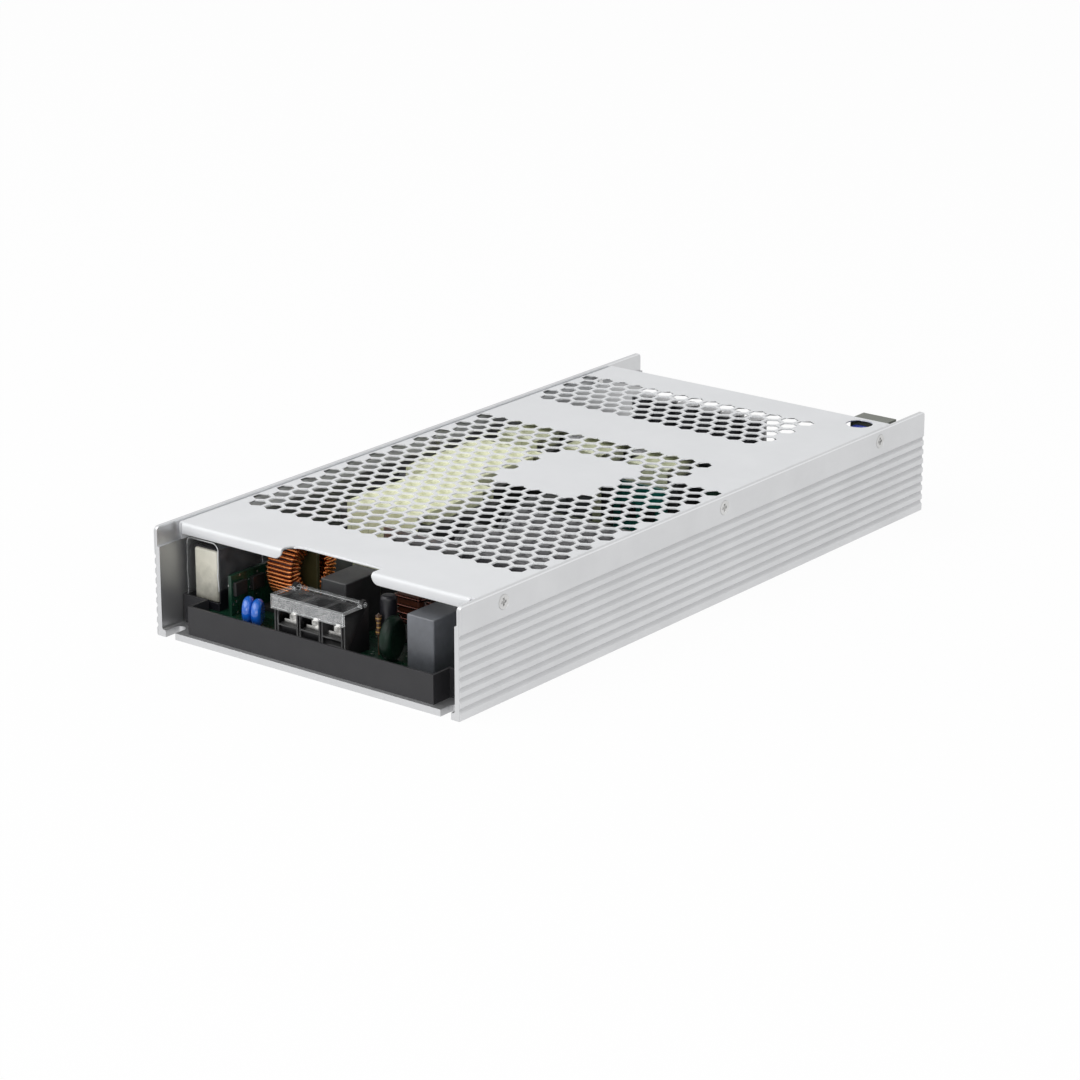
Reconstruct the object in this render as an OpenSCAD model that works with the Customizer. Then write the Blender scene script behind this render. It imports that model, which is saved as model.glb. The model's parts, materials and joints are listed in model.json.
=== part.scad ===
// Enclosed fanless switching power supply: a grooved channel chassis under a perforated cover.
// Millimetres. The origin is the middle of the underside, +Y points to the output end and +Z points up.

/* [Overall] */
// Width over the side walls
body_w = 140; // [130:1:160]
// Length of the chassis
body_l = 290; // [280:1:330]
// Height of the side walls
body_h = 41; // [39:0.5:48]

/* [Chassis] */
// Thickness of the base plate
base_t = 2.5; // [2:0.1:4]
// Thickness of the side walls below the ledge
wall_t = 2.5; // [2.3:0.1:4]
// Height of the thin wall above the ledge that carries the cover
lip_h = 7.3; // [6.5:0.1:9]
// Fillet between the walls and the base
channel_r = 1.2; // [0.5:0.1:2]
// Rounding of the long lower edges
edge_r = 0.8; // [0.3:0.1:1.5]
// Rounding of the upper corners at the wall ends
wall_end_r = 1.8; // [0.5:0.1:3]
// Grooves on each side wall
groove_count = 8; // [4:1:8]
// Spacing of the grooves
groove_pitch = 3.7; // [3:0.05:3.8]
// Height of the lowest groove
groove_z = 4; // [3:0.1:5]
// Radius of a groove's section
groove_r = 1.1; // [0.8:0.05:1.4]
// Depth of a groove
groove_d = 0.6; // [0.3:0.05:0.7]
// Width of the open mounting slots
slot_w = 4.6; // [4.2:0.1:5.4]
// Depth of the mounting slots from the chassis ends
slot_l = 7; // [5:0.1:8]
// Distance from the side face to a slot's centre line
slot_inset = 6.5; // [6:0.1:8]

/* [Cover] */
// Thickness of the cover sheet
cover_t = 1; // [0.8:0.1:1.2]
// Drop of the cover's top below the wall tops
cover_drop = 0.5; // [0:0.1:1]
// Gap between the cover's flanges and the walls
cover_fit = 0.1; // [0.05:0.05:0.2]
// Outside radius of the bends
bend_r = 1.4; // [1.3:0.1:2]
// Distance from the chassis front to the cover
cover_front = 10; // [8:0.5:12]
// Distance from the cover to the chassis rear
cover_rear = 21.5; // [19:0.5:24]
// Height of the front flange
front_flange_h = 4; // [3:0.1:5]
// Gap between the front flange and the side flanges
corner_relief = 1.5; // [1:0.1:3]
// Left edge of the wiring notch
notch_left = -18.6; // [-22:0.1:-18.5]
// Right edge of the wiring notch
notch_right = 22.8; // [19:0.1:26]
// Depth of the wiring notch
notch_d = 6.7; // [5:0.1:7]
// Rounding of the notch's left inner corner
notch_r = 5; // [2:0.1:5]
// Rounding of the flange's lower corners at the notch
flange_r = 3; // [1:0.1:3]
// Diameter of the adjuster hole
adjust_hole_d = 10.5; // [9:0.1:11]
// Distance from the right side face to the adjuster hole
adjust_inset = 12; // [12:0.5:16]
// Distance from the cover's rear edge to the adjuster hole
adjust_back = 7; // [6.5:0.5:9]

/* [Perforation] */
// Hexagon size across its flats
hex_af = 6.1; // [4:0.1:6.4]
// Spacing of neighbouring hexagons
hex_pitch = 7.5; // [7.2:0.05:7.5]
// Hexagons in the longer columns of the main field
hex_rows = 18; // [10:1:18]
// Columns in the main field
main_columns = 22; // [10:1:22]
// Distance from the chassis front to the first column of the main field
main_start = 44; // [40:0.5:46]
// Columns in the rear field
rear_columns = 6; // [3:1:6]
// Distance from the last column to the cover's rear edge
rear_margin = 19.5; // [17:0.5:22]
// Plain block inside the main field, left edge
blank_left = -12; // [-30:1:-5]
// Plain block inside the main field, right edge
blank_right = 28; // [10:1:40]
// Distance from the chassis front to the plain block
blank_start = 121; // [110:1:130]
// Length of the plain block
blank_l = 46; // [30:1:50]
// Right edge of the shortened columns
short_right = 43; // [30:1:50]
// Distance from the chassis front to the shortened columns
short_start = 160; // [150:1:170]

/* [Cover screws] */
// Shank diameter of the cover screws
screw_d = 2.8; // [2.5:0.1:3]
// Head diameter of the cover screws
screw_head_d = 5.4; // [5:0.1:5.6]
// Length of the cover screws
screw_l = 5; // [4:0.5:7]
// Gap around the cover screws in their holes
screw_fit = 0.1; // [0.05:0.05:0.2]
// Height of the screws below the wall tops
screw_drop = 4.6; // [4.4:0.1:4.8]
// Distance from the chassis front to the front screws
screw_front = 23.6; // [20:0.1:30]
// Distance from the chassis front to the middle screws
screw_middle = 153.4; // [140:0.1:160]
// Distance from the rear screws to the chassis rear
screw_rear = 32; // [28:0.1:36]

/* [Tray and board] */
// Wall thickness of the insulating tray
tray_t = 1; // [0.8:0.1:1.5]
// Height of the tray's walls above the base plate
tray_h = 10.7; // [9:0.1:12]
// Gap between the tray and the side walls
tray_fit = 0.3; // [0.2:0.05:0.5]
// Setback of the tray's end walls from the chassis ends
tray_setback = 2; // [1.5:0.1:3]
// Room between a mounting slot and the tray
slot_room = 4.7; // [4:0.1:5]
// Length of the narrow ends of the tray
tray_neck = 9; // [8.5:0.1:10]
// Thickness of the circuit board
board_t = 1.6; // [1:0.1:2.4]
// Gap between the board and the tray's walls
board_fit = 0.5; // [0.3:0.1:0.6]
// Height of the standoffs above the base plate
standoff_h = 5; // [3.5:0.1:6]
// Diameter of the standoffs
standoff_d = 6; // [5.5:0.1:6.2]
// Distance from the board's side edges to the standoffs
standoff_inset = 4.5; // [4:0.1:5]
// Distance from the chassis ends to the outer standoffs
standoff_end = 46; // [44:0.5:50]
// Distance from the chassis ends to the inner standoffs
standoff_middle = 105; // [100:0.5:108]
// Head diameter of the board screws
board_screw_head = 5.5; // [5:0.1:6]
// Head height of the board screws
board_screw_h = 2; // [1.5:0.1:2.5]
// Chamfer around the heads of the board and terminal screws
head_chamfer = 0.8; // [0.4:0.1:1]

/* [Terminal block] */
// Number of poles
poles = 3; // [2:1:3]
// Spacing of the poles
pole_pitch = 10.2; // [9:0.1:10.4]
// Thickness of the barrier walls
barrier_t = 1.9; // [1.2:0.1:2.2]
// Offset of the block's centre from the middle of the chassis
block_x = -0.4; // [-1:0.1:1]
// Distance from the tray's front wall to the block
block_gap = 0.8; // [0.6:0.1:1]
// Depth of the block
block_d = 12.7; // [11.8:0.1:13]
// Height of the barrier walls above the board
block_h = 15.9; // [14:0.1:17]
// Height of the cell floors above the board
cell_floor = 6.6; // [5:0.1:8]
// Thickness of the wall behind the cells
block_back = 3.4; // [3:0.1:4]
// Thickness of the contact plates
plate_t = 0.8; // [0.5:0.1:1.2]
// Gap around the contact plates
plate_fit = 0.3; // [0.2:0.1:0.5]
// Distance from the block's front to the contact plates
plate_setback = 1.8; // [0.3:0.1:2]
// Thread diameter of the terminal screws
pole_screw_d = 3.5; // [3:0.1:4]
// Head diameter of the terminal screws
pole_head_d = 5.6; // [5:0.1:5.8]
// Head height of the terminal screws
pole_head_h = 2.6; // [2:0.1:3]
// Thickness of the square washers
washer_t = 0.9; // [0.6:0.1:1.2]
// Width of the square washers
washer_w = 6; // [6:0.1:7.4]

/* [Terminal cover] */
// Thickness of the clear cover
clear_t = 1.2; // [1:0.1:1.4]
// Height of the clear cover's front lip
clear_lip = 5.3; // [4:0.1:6]
// Gap between the clear cover and the block
clear_gap = 0.3; // [0.25:0.05:0.5]
// Diameter of the hinge rod
hinge_rod_d = 2.4; // [2.4:0.1:2.8]
// Diameter of the hinge pins
hinge_pin_d = 2; // [1.6:0.1:2]
// Radial clearance of the hinge pins
hinge_fit = 0.06; // [0.04:0.01:0.1]
// Thickness of the hinge ears
ear_t = 1.6; // [1.2:0.1:1.8]
// Radius of the hinge ears
ear_r = 1.7; // [1.6:0.1:1.9]

/* [Input parts] */
// Width and length of the line capacitor
line_cap = [11, 23];
// Gap between the line capacitor's sleeve and the film above it
line_cap_gap = 2.7; // [1.5:0.1:5]
// Height of the plinth under the line capacitor
line_cap_lift = 3; // [1:0.1:5]
// Distance from the left wall to the line capacitor
line_cap_side = 4.5; // [4:0.1:6]
// Distance from the chassis front to the line capacitor
line_cap_front = 13; // [12:0.5:15]
// Thickness of the line capacitor's sleeve
sleeve_t = 0.5; // [0.3:0.1:0.6]
// Length of the line capacitor that stands out of its sleeve
sleeve_setback = 0.8; // [0.5:0.1:2]
// Thickness of the insulating film around the line capacitor
film_t = 0.4; // [0.3:0.1:0.6]
// Gap between the insulating film and the cover
film_gap = 4.4; // [3.8:0.1:6]
// Height of the film's hanging edge above the board
film_lift = 8; // [4:0.5:12]
// Radius of the film's folds
film_fold_r = 2.5; // [1.5:0.1:3]
// Distance from the left wall to the control board
control_side = 21.3; // [20:0.1:22]
// Length and height of the control board
control_size = [32, 15.1];
// Thickness of the upright boards
small_board_t = 1.6; // [1:0.1:1.8]
// Thickness, length and height of the chips on the upright boards
chip = [1.6, 6, 5];
// Spacing of the chips
chip_pitch = 9; // [7:0.5:9]
// Diameter of the blue disc capacitors
disc_d = 10; // [8:0.1:11]
// Thickness of the disc capacitors
disc_t = 3.6; // [2.5:0.1:3.8]
// Distance from the left wall to the first disc capacitor
disc_side = 33; // [32.6:0.1:34]
// Rounding of the discs' rims, as a share of their thickness
disc_round = 0.46; // [0.2:0.01:0.48]
// Turn of the disc capacitors about the upright
disc_turn = 30; // [0:1:32]
// Spacing of the disc capacitors
disc_pitch = 4.4; // [4:0.1:4.6]
// Distance from the chassis front to the disc capacitors' centres
disc_front = 10; // [9.5:0.1:11]
// Gap between soldered parts and the board
lead_gap = 0.3; // [0.1:0.1:0.4]
// Rounding of the upright edges of box-shaped parts
box_r = 0.6; // [0.3:0.1:1]
// Width, length and height of the X capacitor
x_cap = [11.6, 19, 20.9];
// Left edge of the X capacitor
x_cap_left = -7.6; // [-9:0.1:-6]
// Distance from the chassis front to the X capacitor
x_cap_front = 18.2; // [17.8:0.1:20]
// Width, length and height of the filter capacitor
filter_cap = [12, 25, 20.4];
// Distance from the right wall to the filter capacitor
filter_cap_side = 16.5; // [15:0.1:18]
// Distance from the chassis front to the filter capacitor
filter_cap_front = 9.2; // [8:0.1:11]
// Diameter of the varistor
varistor_d = 16; // [12:0.1:17]
// Thickness of the varistor
varistor_t = 4.6; // [3:0.1:5]
// Position of the varistor's middle
varistor_x = 29.7; // [29.4:0.1:30.4]
// Distance from the chassis front to the varistor's centre
varistor_front = 12.6; // [12.4:0.1:13]
// Turn of the varistor about the upright
varistor_turn = 16; // [0:1:18]
// Diameter of the sleeved fuse
fuse_d = 6; // [5:0.1:6.4]
// Height of the sleeved fuse
fuse_h = 21; // [14:0.5:22]
// Position of the fuse's axis
fuse_x = 22.8; // [22:0.1:23]
// Distance from the chassis front to the fuse's axis
fuse_front = 19; // [18:0.1:19.5]
// Diameter of the bleed resistor
resistor_d = 2.2; // [1.8:0.1:2.6]
// Length of the bleed resistor
resistor_l = 6.8; // [6:0.1:8]
// Position of the resistor's axis
resistor_x = 22; // [20.5:0.1:22.4]
// Distance from the chassis front to the resistor's axis
resistor_front = 14.5; // [14:0.1:15]
// Height of the resistor's lower end above the board
resistor_lift = 7.6; // [3:0.1:9]
// Length of the resistor's thicker ends
resistor_end = 1.7; // [1.2:0.1:2.2]
// Step between the resistor's ends and its middle
resistor_step = 0.25; // [0.1:0.05:0.4]
// Diameter of the resistor's leads
resistor_lead = 0.7; // [0.6:0.1:1]

/* [Chokes] */
// Radial thickness of the toroid cores
core_ring = 3.3; // [3:0.1:4.2]
// Width of the toroid cores along their axis
core_w = 10.4; // [8:0.1:11]
// Rounding of the toroid cores' edges
core_edge = 1; // [0.8:0.1:1.5]
// Wire diameter
wire_d = 1.1; // [0.8:0.05:1.35]
// Gap between the wire and the core
wire_gap = 0.05; // [0.05:0.05:0.1]
// Angle that each winding covers
winding_sweep = 136; // [100:1:140]
// Gap between the chokes and the cover
choke_headroom = 2.4; // [1.5:0.1:5]
// Thickness of the chokes' base plates
choke_base_t = 1.7; // [1:0.1:2]
// Gap between the windings and the base plates
choke_seat = 0.3; // [0.2:0.05:0.4]
// Thickness of the divider between the windings
divider_t = 1.5; // [1:0.1:1.8]
// Reach of the divider past the windings
divider_reach = 1.8; // [1:0.1:2]
// Width of the saddle that carries the second choke
saddle_w = 4; // [2:0.5:5]
// Distance from the left wall to the first choke's middle
choke_side = 34.2; // [33.6:0.1:36]
// Distance from the chassis front to the first choke
choke_front = 24; // [23:0.1:25]
// Position of the second choke's middle
second_choke_x = 22; // [21:0.1:23]
// Distance from the chassis front to the second choke
second_choke_front = 29; // [28:0.1:31]

/* [Rectifier parts] */
// Width, length and height of the inrush relay
relay = [14, 12, 16];
// Distance from the right wall to the relay
relay_side = 12; // [11:0.1:14]
// Distance from the chassis front to the relay
relay_front = 38; // [36:0.1:40]
// Gap between parts that stand side by side
part_gap = 1; // [0.8:0.1:2]
// Width, thickness and height of the rectifier bridge
bridge = [30, 4.6, 22];
// Diameter of the rectifier bridge's hole
bridge_hole_d = 3.2; // [3:0.1:4]
// Height of the rectifier bridge's hole
bridge_hole_z = 13; // [8:0.5:16]
// Gap between the second choke and the rectifier bridge
bridge_gap = 4; // [2:0.5:6]
// Width, thickness and height of the bridge's heatsink
bridge_sink = [34, 3, 26];
// Depth of the grooves in the heatsinks
fin_d = 1; // [0.5:0.1:1.2]
// Width of the grooves in the heatsinks
fin_w = 1.5; // [1:0.1:2]
// Spacing of the grooves in the heatsinks
fin_pitch = 3.4; // [3:0.1:5]
// Width, length and height of the rectifier's film capacitor
rectifier_cap = [24, 11, 18];
// Distance from the left wall to the rectifier's film capacitor
rectifier_cap_side = 11.5; // [11:0.1:13]
// Distance from the right wall to the standby transformer
standby_side = 22; // [20:0.5:24]
// Width, length and height of the standby transformer
standby = [18, 14, 19];
// Thickness of the standby transformer's yokes
standby_yoke = 3; // [2:0.5:4]
// Width of the standby transformer's centre leg
standby_leg = 6; // [4:0.5:7]
// Height of the standby transformer's core above the board
standby_core_z = 4; // [3:0.5:5]
// Height of the standby transformer's core
standby_core_h = 11; // [8:0.5:12]

/* [Magnetics] */
// Gap between the bridge's heatsink and the boost inductor
boost_gap = 6.4; // [5:0.1:8]
// Distance from the left wall to the boost inductor
boost_side = 21.5; // [20:0.5:23]
// Width of the boost inductor
boost_w = 42; // [34:0.5:44]
// Distance from the left wall to the main transformer
main_side = 11.5; // [11:0.5:13]
// Width of the main transformer
main_w = 40; // [34:0.5:44]
// Distance from the left wall to the output transformers
output_side = 11.5; // [11:0.5:13]
// Gap between the main transformer and the output transformers
output_space = 13; // [8:0.5:15]
// Gap between the output transformers and the output transistors
output_room = 8.2; // [4:0.1:10]
// Width and length of an output transformer
output_size = [28, 19];
// Number of output transformers
output_count = 3; // [1:1:3]
// Gap between neighbouring magnetics
magnetic_gap = 3; // [2:0.5:3.5]
// Gap between the coils and the cover
coil_headroom = 1.4; // [1:0.1:6]
// Height of the ferrite cores
ferrite_h = 20; // [16:0.5:21]
// Thickness of the ferrite yokes
yoke_t = 5; // [3:0.5:6]
// Width of the ferrite centre legs
leg_w = 8; // [6:0.5:10]
// Thickness of the tape around the ferrite cores and their coils
tape_t = 0.6; // [0.4:0.1:1]
// Gap between the ferrite and the coils
ferrite_gap = 0.3; // [0.1:0.1:0.5]
// Corner radius of the small coils and the choke bases
coil_r = 2; // [1:0.5:3]

/* [Capacitors] */
// Gap between the bulk capacitors and the cover
bulk_headroom = 5; // [3:0.1:8]
// Gap between the bulk capacitors
bulk_gap = 1.5; // [1:0.1:3]
// Gap between the bulk capacitors and the boost inductor
bulk_room = 9; // [6:0.5:12]
// Distance from the right wall to the bulk capacitors
bulk_side = 10.5; // [10:0.5:12]
// Depth of the crimped groove in a capacitor
crimp_d = 0.8; // [0.4:0.1:1]
// Distance from a capacitor's end to its crimped groove
crimp_end = 2.6; // [2:0.1:4]
// Thickness of the bare capacitor ends
can_end_t = 0.6; // [0.4:0.1:0.8]
// Width, length and height of a resonant capacitor
resonant_cap = [12, 15, 20];
// Left edge of the resonant capacitors
resonant_left = -8; // [-9:0.5:-6]
// Diameter of the tall output capacitors
output_can_d = 10; // [8:0.1:10.4]
// Height of the tall output capacitors
output_can_h = 26; // [20:0.5:27]
// Number of tall output capacitors
output_can_count = 6; // [2:1:6]
// Distance from the left wall to the tall output capacitors
output_can_side = 19.5; // [14:0.5:24]
// Diameter of the short output capacitors
short_can_d = 12.5; // [10:0.1:13]
// Height of the short output capacitors
short_can_h = 15; // [12:0.5:16]
// Gap between neighbouring output capacitors
can_gap = 0.8; // [0.3:0.1:1]

/* [Power switches] */
// Distance from the right wall to the primary heatsink
primary_side = 11; // [10.5:0.1:12]
// Length, thickness and height of the primary heatsink
primary_sink = [54, 3, 24];
// Gap between the bulk capacitors and the primary heatsink
primary_gap = 4; // [2:0.5:6]
// Width, thickness and height of a power transistor
transistor = [15.6, 4.8, 20];
// Gap between neighbouring transistors
transistor_gap = 2; // [1:0.1:2.4]
// Transistors on each heatsink
transistor_count = 3; // [1:1:3]
// Length, thickness and height of the output heatsink
output_sink = [64, 4, 20];
// Distance from the left wall to the output heatsink
output_sink_side = 12; // [11.5:0.5:16]
// Distance from the output heatsink to the chassis rear
output_sink_rear = 84; // [82:0.5:86]
// Width and height of the upright driver board
driver_size = [24, 26];
// Distance from the right wall to the driver board
driver_side = 29; // [28:0.5:30]

/* [Output end] */
// Width, length and height of an output terminal base
output_base_size = [17, 16, 6];
// Offset of the two output terminals from the middle of the chassis
output_x = [-21.5, 12.5];
// Distance from the tray's rear wall to the output terminals
output_gap = 1.2; // [0.8:0.1:2]
// Thickness of the output bars
output_bar_t = 3; // [2:0.1:4]
// Width of the output bars
output_bar_w = 13; // [10:0.5:14]
// Reach of the output bars towards the board
output_bar_reach = 6; // [4:0.5:8]
// Thread diameter of the output screws
output_screw_d = 5; // [4:0.1:5]
// Head width of the output screws across the flats
output_head_af = 8; // [7:0.5:9]
// Head height of the output screws
output_head_h = 3.5; // [3:0.1:4]
// Thickness of the output washers
output_washer_t = 1; // [0.8:0.1:1.2]
// Width of the signal board
signal_w = 18; // [17:0.5:19]
// Length of the signal board
signal_l = 29; // [28:0.5:30]
// Width of the legs under the signal board
header_t = 2.5; // [2:0.1:3]
// Distance from the right wall to the signal board
signal_side = 1.6; // [1.5:0.1:2]
// Distance from the signal board to the chassis rear
signal_rear = 12; // [11.6:0.1:14]
// Width, length and height of the signal connector
connector = [15.2, 9.5, 7.9];
// Pins in each of the connector's two rows
connector_pins = 7; // [3:1:7]
// Spacing of the connector pins
pin_pitch = 2; // [1.5:0.05:2.1]
// Width of the square connector pins
pin_w = 0.5; // [0.4:0.05:0.6]
// Wall thickness of the signal connector
connector_wall = 1; // [0.7:0.1:1.2]
// Width of the trimmer's square body
trimmer_w = 9.5; // [8:0.1:9.8]
// Height of the trimmer's body
trimmer_h = 6.6; // [5:0.1:7]
// Diameter of the trimmer's rotor
rotor_d = 6.4; // [5:0.1:7]
// Height of the trimmer's rotor
rotor_h = 2; // [1.5:0.1:2.4]
// Height of the rotor that stands above the trimmer's body
rotor_proud = 0.4; // [0.2:0.1:0.6]
// Radial and axial clearance of the rotor
rotor_fit = 0.08; // [0.05:0.01:0.1]
// Gap between the rotor and the cover
trimmer_headroom = 0.8; // [0.6:0.1:2]
// Width of screwdriver slots
drive_w = 1; // [0.8:0.1:1.1]
// Depth of screwdriver slots
drive_d = 0.9; // [0.6:0.1:1]
// Margin between screwdriver slots and the rim of their head
drive_rim = 1.2; // [0.8:0.1:1.4]

/* [Hidden] */
$fn = 48;

// Overlap of cutting shapes past the faces that they cut
cut = 1;
// Place of the closest approach along a bend, as a share of the wire's diameter
closest_bend = 0.8;
front_y = -body_l / 2;
rear_y = body_l / 2;
left_x = -body_w / 2 + wall_t;
right_x = body_w / 2 - wall_t;
lip_t = wall_t - cover_t;
ledge_z = body_h - lip_h;
groove_x = body_w / 2 + groove_r - groove_d;

cover_top = body_h - cover_drop;
under_cover = cover_top - cover_t;
cover_half = body_w / 2 - lip_t - cover_fit;
cover_y0 = front_y + cover_front;
cover_y1 = rear_y - cover_rear;
flange_half = cover_half - cover_t - corner_relief;
adjust_x = body_w / 2 - adjust_inset;
adjust_y = cover_y1 - adjust_back;

column_pitch = hex_pitch * sin(60);
main_y = front_y + main_start;
rear_y0 = cover_y1 - rear_margin - (rear_columns - 1) * column_pitch;
blank_y0 = front_y + blank_start;
blank_y1 = blank_y0 + blank_l;
short_y = front_y + short_start;

screw_z = body_h - screw_drop;
screw_ys = [front_y + screw_front, front_y + screw_middle, rear_y - screw_rear];
screw_cone = (screw_head_d - screw_d) / 2;

tray_half = body_w / 2 - wall_t - tray_fit;
slot_x = body_w / 2 - slot_inset;
neck_half = slot_x - slot_w / 2 - slot_room;
tray_end = body_l / 2 - tray_setback;
tray_shoulder = tray_end - tray_neck;
tray_floor = base_t + tray_t;
board_z = base_t + standoff_h;
board_top = board_z + board_t;
board_half = tray_half - tray_t - board_fit;
board_inset = tray_t + board_fit;
standoff_x = board_half - standoff_inset;
standoff_ys = [
    front_y + standoff_end,
    front_y + standoff_middle,
    rear_y - standoff_middle,
    rear_y - standoff_end
];
room = under_cover - board_top;

block_w = poles * pole_pitch + barrier_t;
block_y0 = front_y + tray_setback + tray_t + block_gap;
block_y1 = block_y0 + block_d;
block_top = board_top + block_h;
cell_z = board_top + cell_floor;
cell_d = block_d - block_back;
pole_y = block_y0 + cell_d / 2;
hinge_y = block_y1 - ear_r;
hinge_z = block_top + clear_gap + clear_t / 2;
clear_half = block_w / 2 + clear_gap;
lip_y = block_y0 - clear_gap;

line_x = left_x + line_cap_side;
line_y = front_y + line_cap_front;
film_x = left_x + tray_fit + tray_t + lead_gap;
film_w = line_x + line_cap[0] + sleeve_t + lead_gap + film_t - film_x;
film_h = room - film_gap;
line_cap_h = film_h - film_t - line_cap_gap - sleeve_t - line_cap_lift;
control_x = left_x + control_side;
choke_x = left_x + choke_side;
choke_r = (room - choke_headroom - choke_base_t - choke_seat) / 2;
core_r = choke_r - wire_d - wire_gap;
choke_z = board_top + choke_base_t + choke_seat + choke_r;
choke_y = front_y + choke_front + choke_r;
second_choke_y = front_y + second_choke_front + choke_r;
winding_half = core_w / 2 + wire_d + wire_gap;
// Radius of the wire that lies against the core's bore
bore_r = core_r - core_ring - (wire_d + wire_gap) / 2;
// Neighbouring turns come closest where the outer of the two bends into the hole
turn_angle = 2 * asin(wire_d / (2 * bore_r + wire_d * closest_bend));
turns = 2 * floor(winding_sweep / turn_angle / 2) + 1;

rectifier_cap_y = choke_y + choke_r + magnetic_gap;
bridge_y = second_choke_y + choke_r + bridge_gap;
boost_x = left_x + boost_side;
boost_y = bridge_y + bridge[1] + bridge_sink[1] + boost_gap;
output_sink_y = rear_y - output_sink_rear;
output_coil_x = left_x + output_side;
output_coil_y = output_sink_y - transistor[1] - output_room - output_size[1];
primary_end = output_coil_y - output_space;
magnetic_l = (primary_end - boost_y - magnetic_gap) / 2;
boost_size = [boost_w, magnetic_l];
main_size = [main_w, magnetic_l];
main_x = left_x + main_side;
main_trans_y = boost_y + magnetic_l + magnetic_gap;
resonant_y = primary_end - 2 * resonant_cap[1] - part_gap;
coil_h = room - coil_headroom - lead_gap;
core_lift = lead_gap + (coil_h - ferrite_h) / 2;
standby_at = [right_x - standby_side - standby[0], second_choke_y + choke_r + part_gap, board_top];

bulk_d = room - bulk_headroom;
bulk_x0 = boost_x + boost_size[0] + bulk_room;
bulk_l = right_x - bulk_side - bulk_x0;
primary_x = right_x - primary_side - primary_sink[1];
primary_y = boost_y + 2 * bulk_d + bulk_gap + primary_gap;
driver_x = right_x - driver_side - driver_size[0];
driver_y = primary_end - part_gap;

output_y = rear_y - tray_setback - tray_t - output_gap - output_base_size[1];
signal_x = right_x - signal_side - signal_w;
signal_y1 = rear_y - signal_rear;
signal_z = under_cover - trimmer_headroom - rotor_proud - trimmer_h - small_board_t;

// A box from its lowest corner and its size
module brick(at, size) {
    translate(at) cube(size);
}

// A rectangle from the origin with rounded corners
module rounded_plan(size, r) {
    translate([r, 0]) square([size[0] - 2 * r, size[1]]);
    translate([0, r]) square([size[0], size[1] - 2 * r]);
    for (x = [r, size[0] - r], y = [r, size[1] - r]) {
        translate([x, y]) circle(r);
    }
}

// A channel section of the given half width, open upwards, with rounded lower corners
module channel_plan(half, z0, z1, r) {
    translate([-half, z0 + r]) square([2 * half, z1 - z0 - r]);
    translate([-half + r, z0]) square([2 * half - 2 * r, z1 - z0]);
    for (s = [-1, 1]) {
        translate([s * (half - r), z0 + r]) circle(r);
    }
}

// A section in X and Z, drawn out along Y
module along_y(y0, y1) {
    translate([0, y1, 0]) rotate([90, 0, 0]) linear_extrude(y1 - y0) children();
}

// A wide middle with narrower ends, which leave room for the mounting slots
module stepped_plan(inset) {
    translate([-tray_half + inset, -tray_shoulder + inset]) {
        square([2 * (tray_half - inset), 2 * (tray_shoulder - inset)]);
    }
    translate([-neck_half + inset, -tray_end + inset]) {
        square([2 * (neck_half - inset), 2 * (tray_end - inset)]);
    }
}

// Positions shared by the standoffs, their screws and the holes for both
module at_standoffs() {
    for (s = [-1, 1], y = standoff_ys) {
        translate([s * standoff_x, y, 0]) children();
    }
}

// Places a cover screw with its axis pointing out of the side wall
module at_cover_screws() {
    for (s = [-1, 1], y = screw_ys) {
        translate([s * body_w / 2, y, screw_z]) rotate([0, s * 90, 0]) children();
    }
}

// A countersunk screw below the plane of its head, grown by a gap all round
module countersunk(gap, length) {
    rotate_extrude() polygon([
        [0, -length],
        [screw_d / 2 + gap, -length],
        [screw_d / 2 + gap, -screw_cone],
        [screw_head_d / 2 + gap, 0],
        [screw_head_d / 2 + gap, gap],
        [0, gap]
    ]);
}

// Two crossed screwdriver slots cut down from a round face at the origin
module cross_drive(head_d) {
    length = head_d - 2 * drive_rim;
    for (a = [0, 90]) {
        rotate(a) translate([-length / 2, -drive_w / 2, -drive_d]) cube([length, drive_w, drive_d + cut]);
    }
}

module chassis() {
    color("silver") difference() {
        along_y(front_y, rear_y) difference() {
            channel_plan(body_w / 2, 0, body_h, edge_r);
            channel_plan(body_w / 2 - wall_t, base_t, body_h + cut, channel_r);
            translate([-body_w / 2 + lip_t, ledge_z]) square([body_w - 2 * lip_t, lip_h + cut]);
            for (s = [-1, 1], i = [0 : groove_count - 1]) {
                translate([s * groove_x, groove_z + i * groove_pitch]) circle(groove_r);
            }
        }
        for (sx = [-1, 1], sy = [-1, 1]) {
            translate([sx * slot_x, sy * (body_l / 2 - slot_l + slot_w / 2), -cut]) {
                cylinder(d = slot_w, h = base_t + 2 * cut);
                translate([-slot_w / 2, min(0, sy * slot_l), 0]) cube([slot_w, slot_l, base_t + 2 * cut]);
            }
        }
        for (sy = [-1, 1]) {
            wall_end_cut(sy);
        }
        at_cover_screws() countersunk(screw_fit, lip_t + cut);
    }
}

// Rounds the upper corners of both walls at one end
module wall_end_cut(sy) {
    translate([0, sy * (body_l / 2 - wall_end_r), body_h - wall_end_r]) difference() {
        translate([-body_w / 2 - cut, min(0, sy * (wall_end_r + cut)), 0]) {
            cube([body_w + 2 * cut, wall_end_r + cut, wall_end_r + cut]);
        }
        rotate([0, 90, 0]) cylinder(r = wall_end_r, h = body_w + 4 * cut, center = true);
    }
}

// One bend of the cover sheet: a quarter ring that turns from the top into a flange on the left
module bend_plan() {
    intersection() {
        difference() {
            circle(bend_r);
            circle(bend_r - cover_t);
        }
        translate([-bend_r, 0]) square(bend_r);
    }
}

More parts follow.
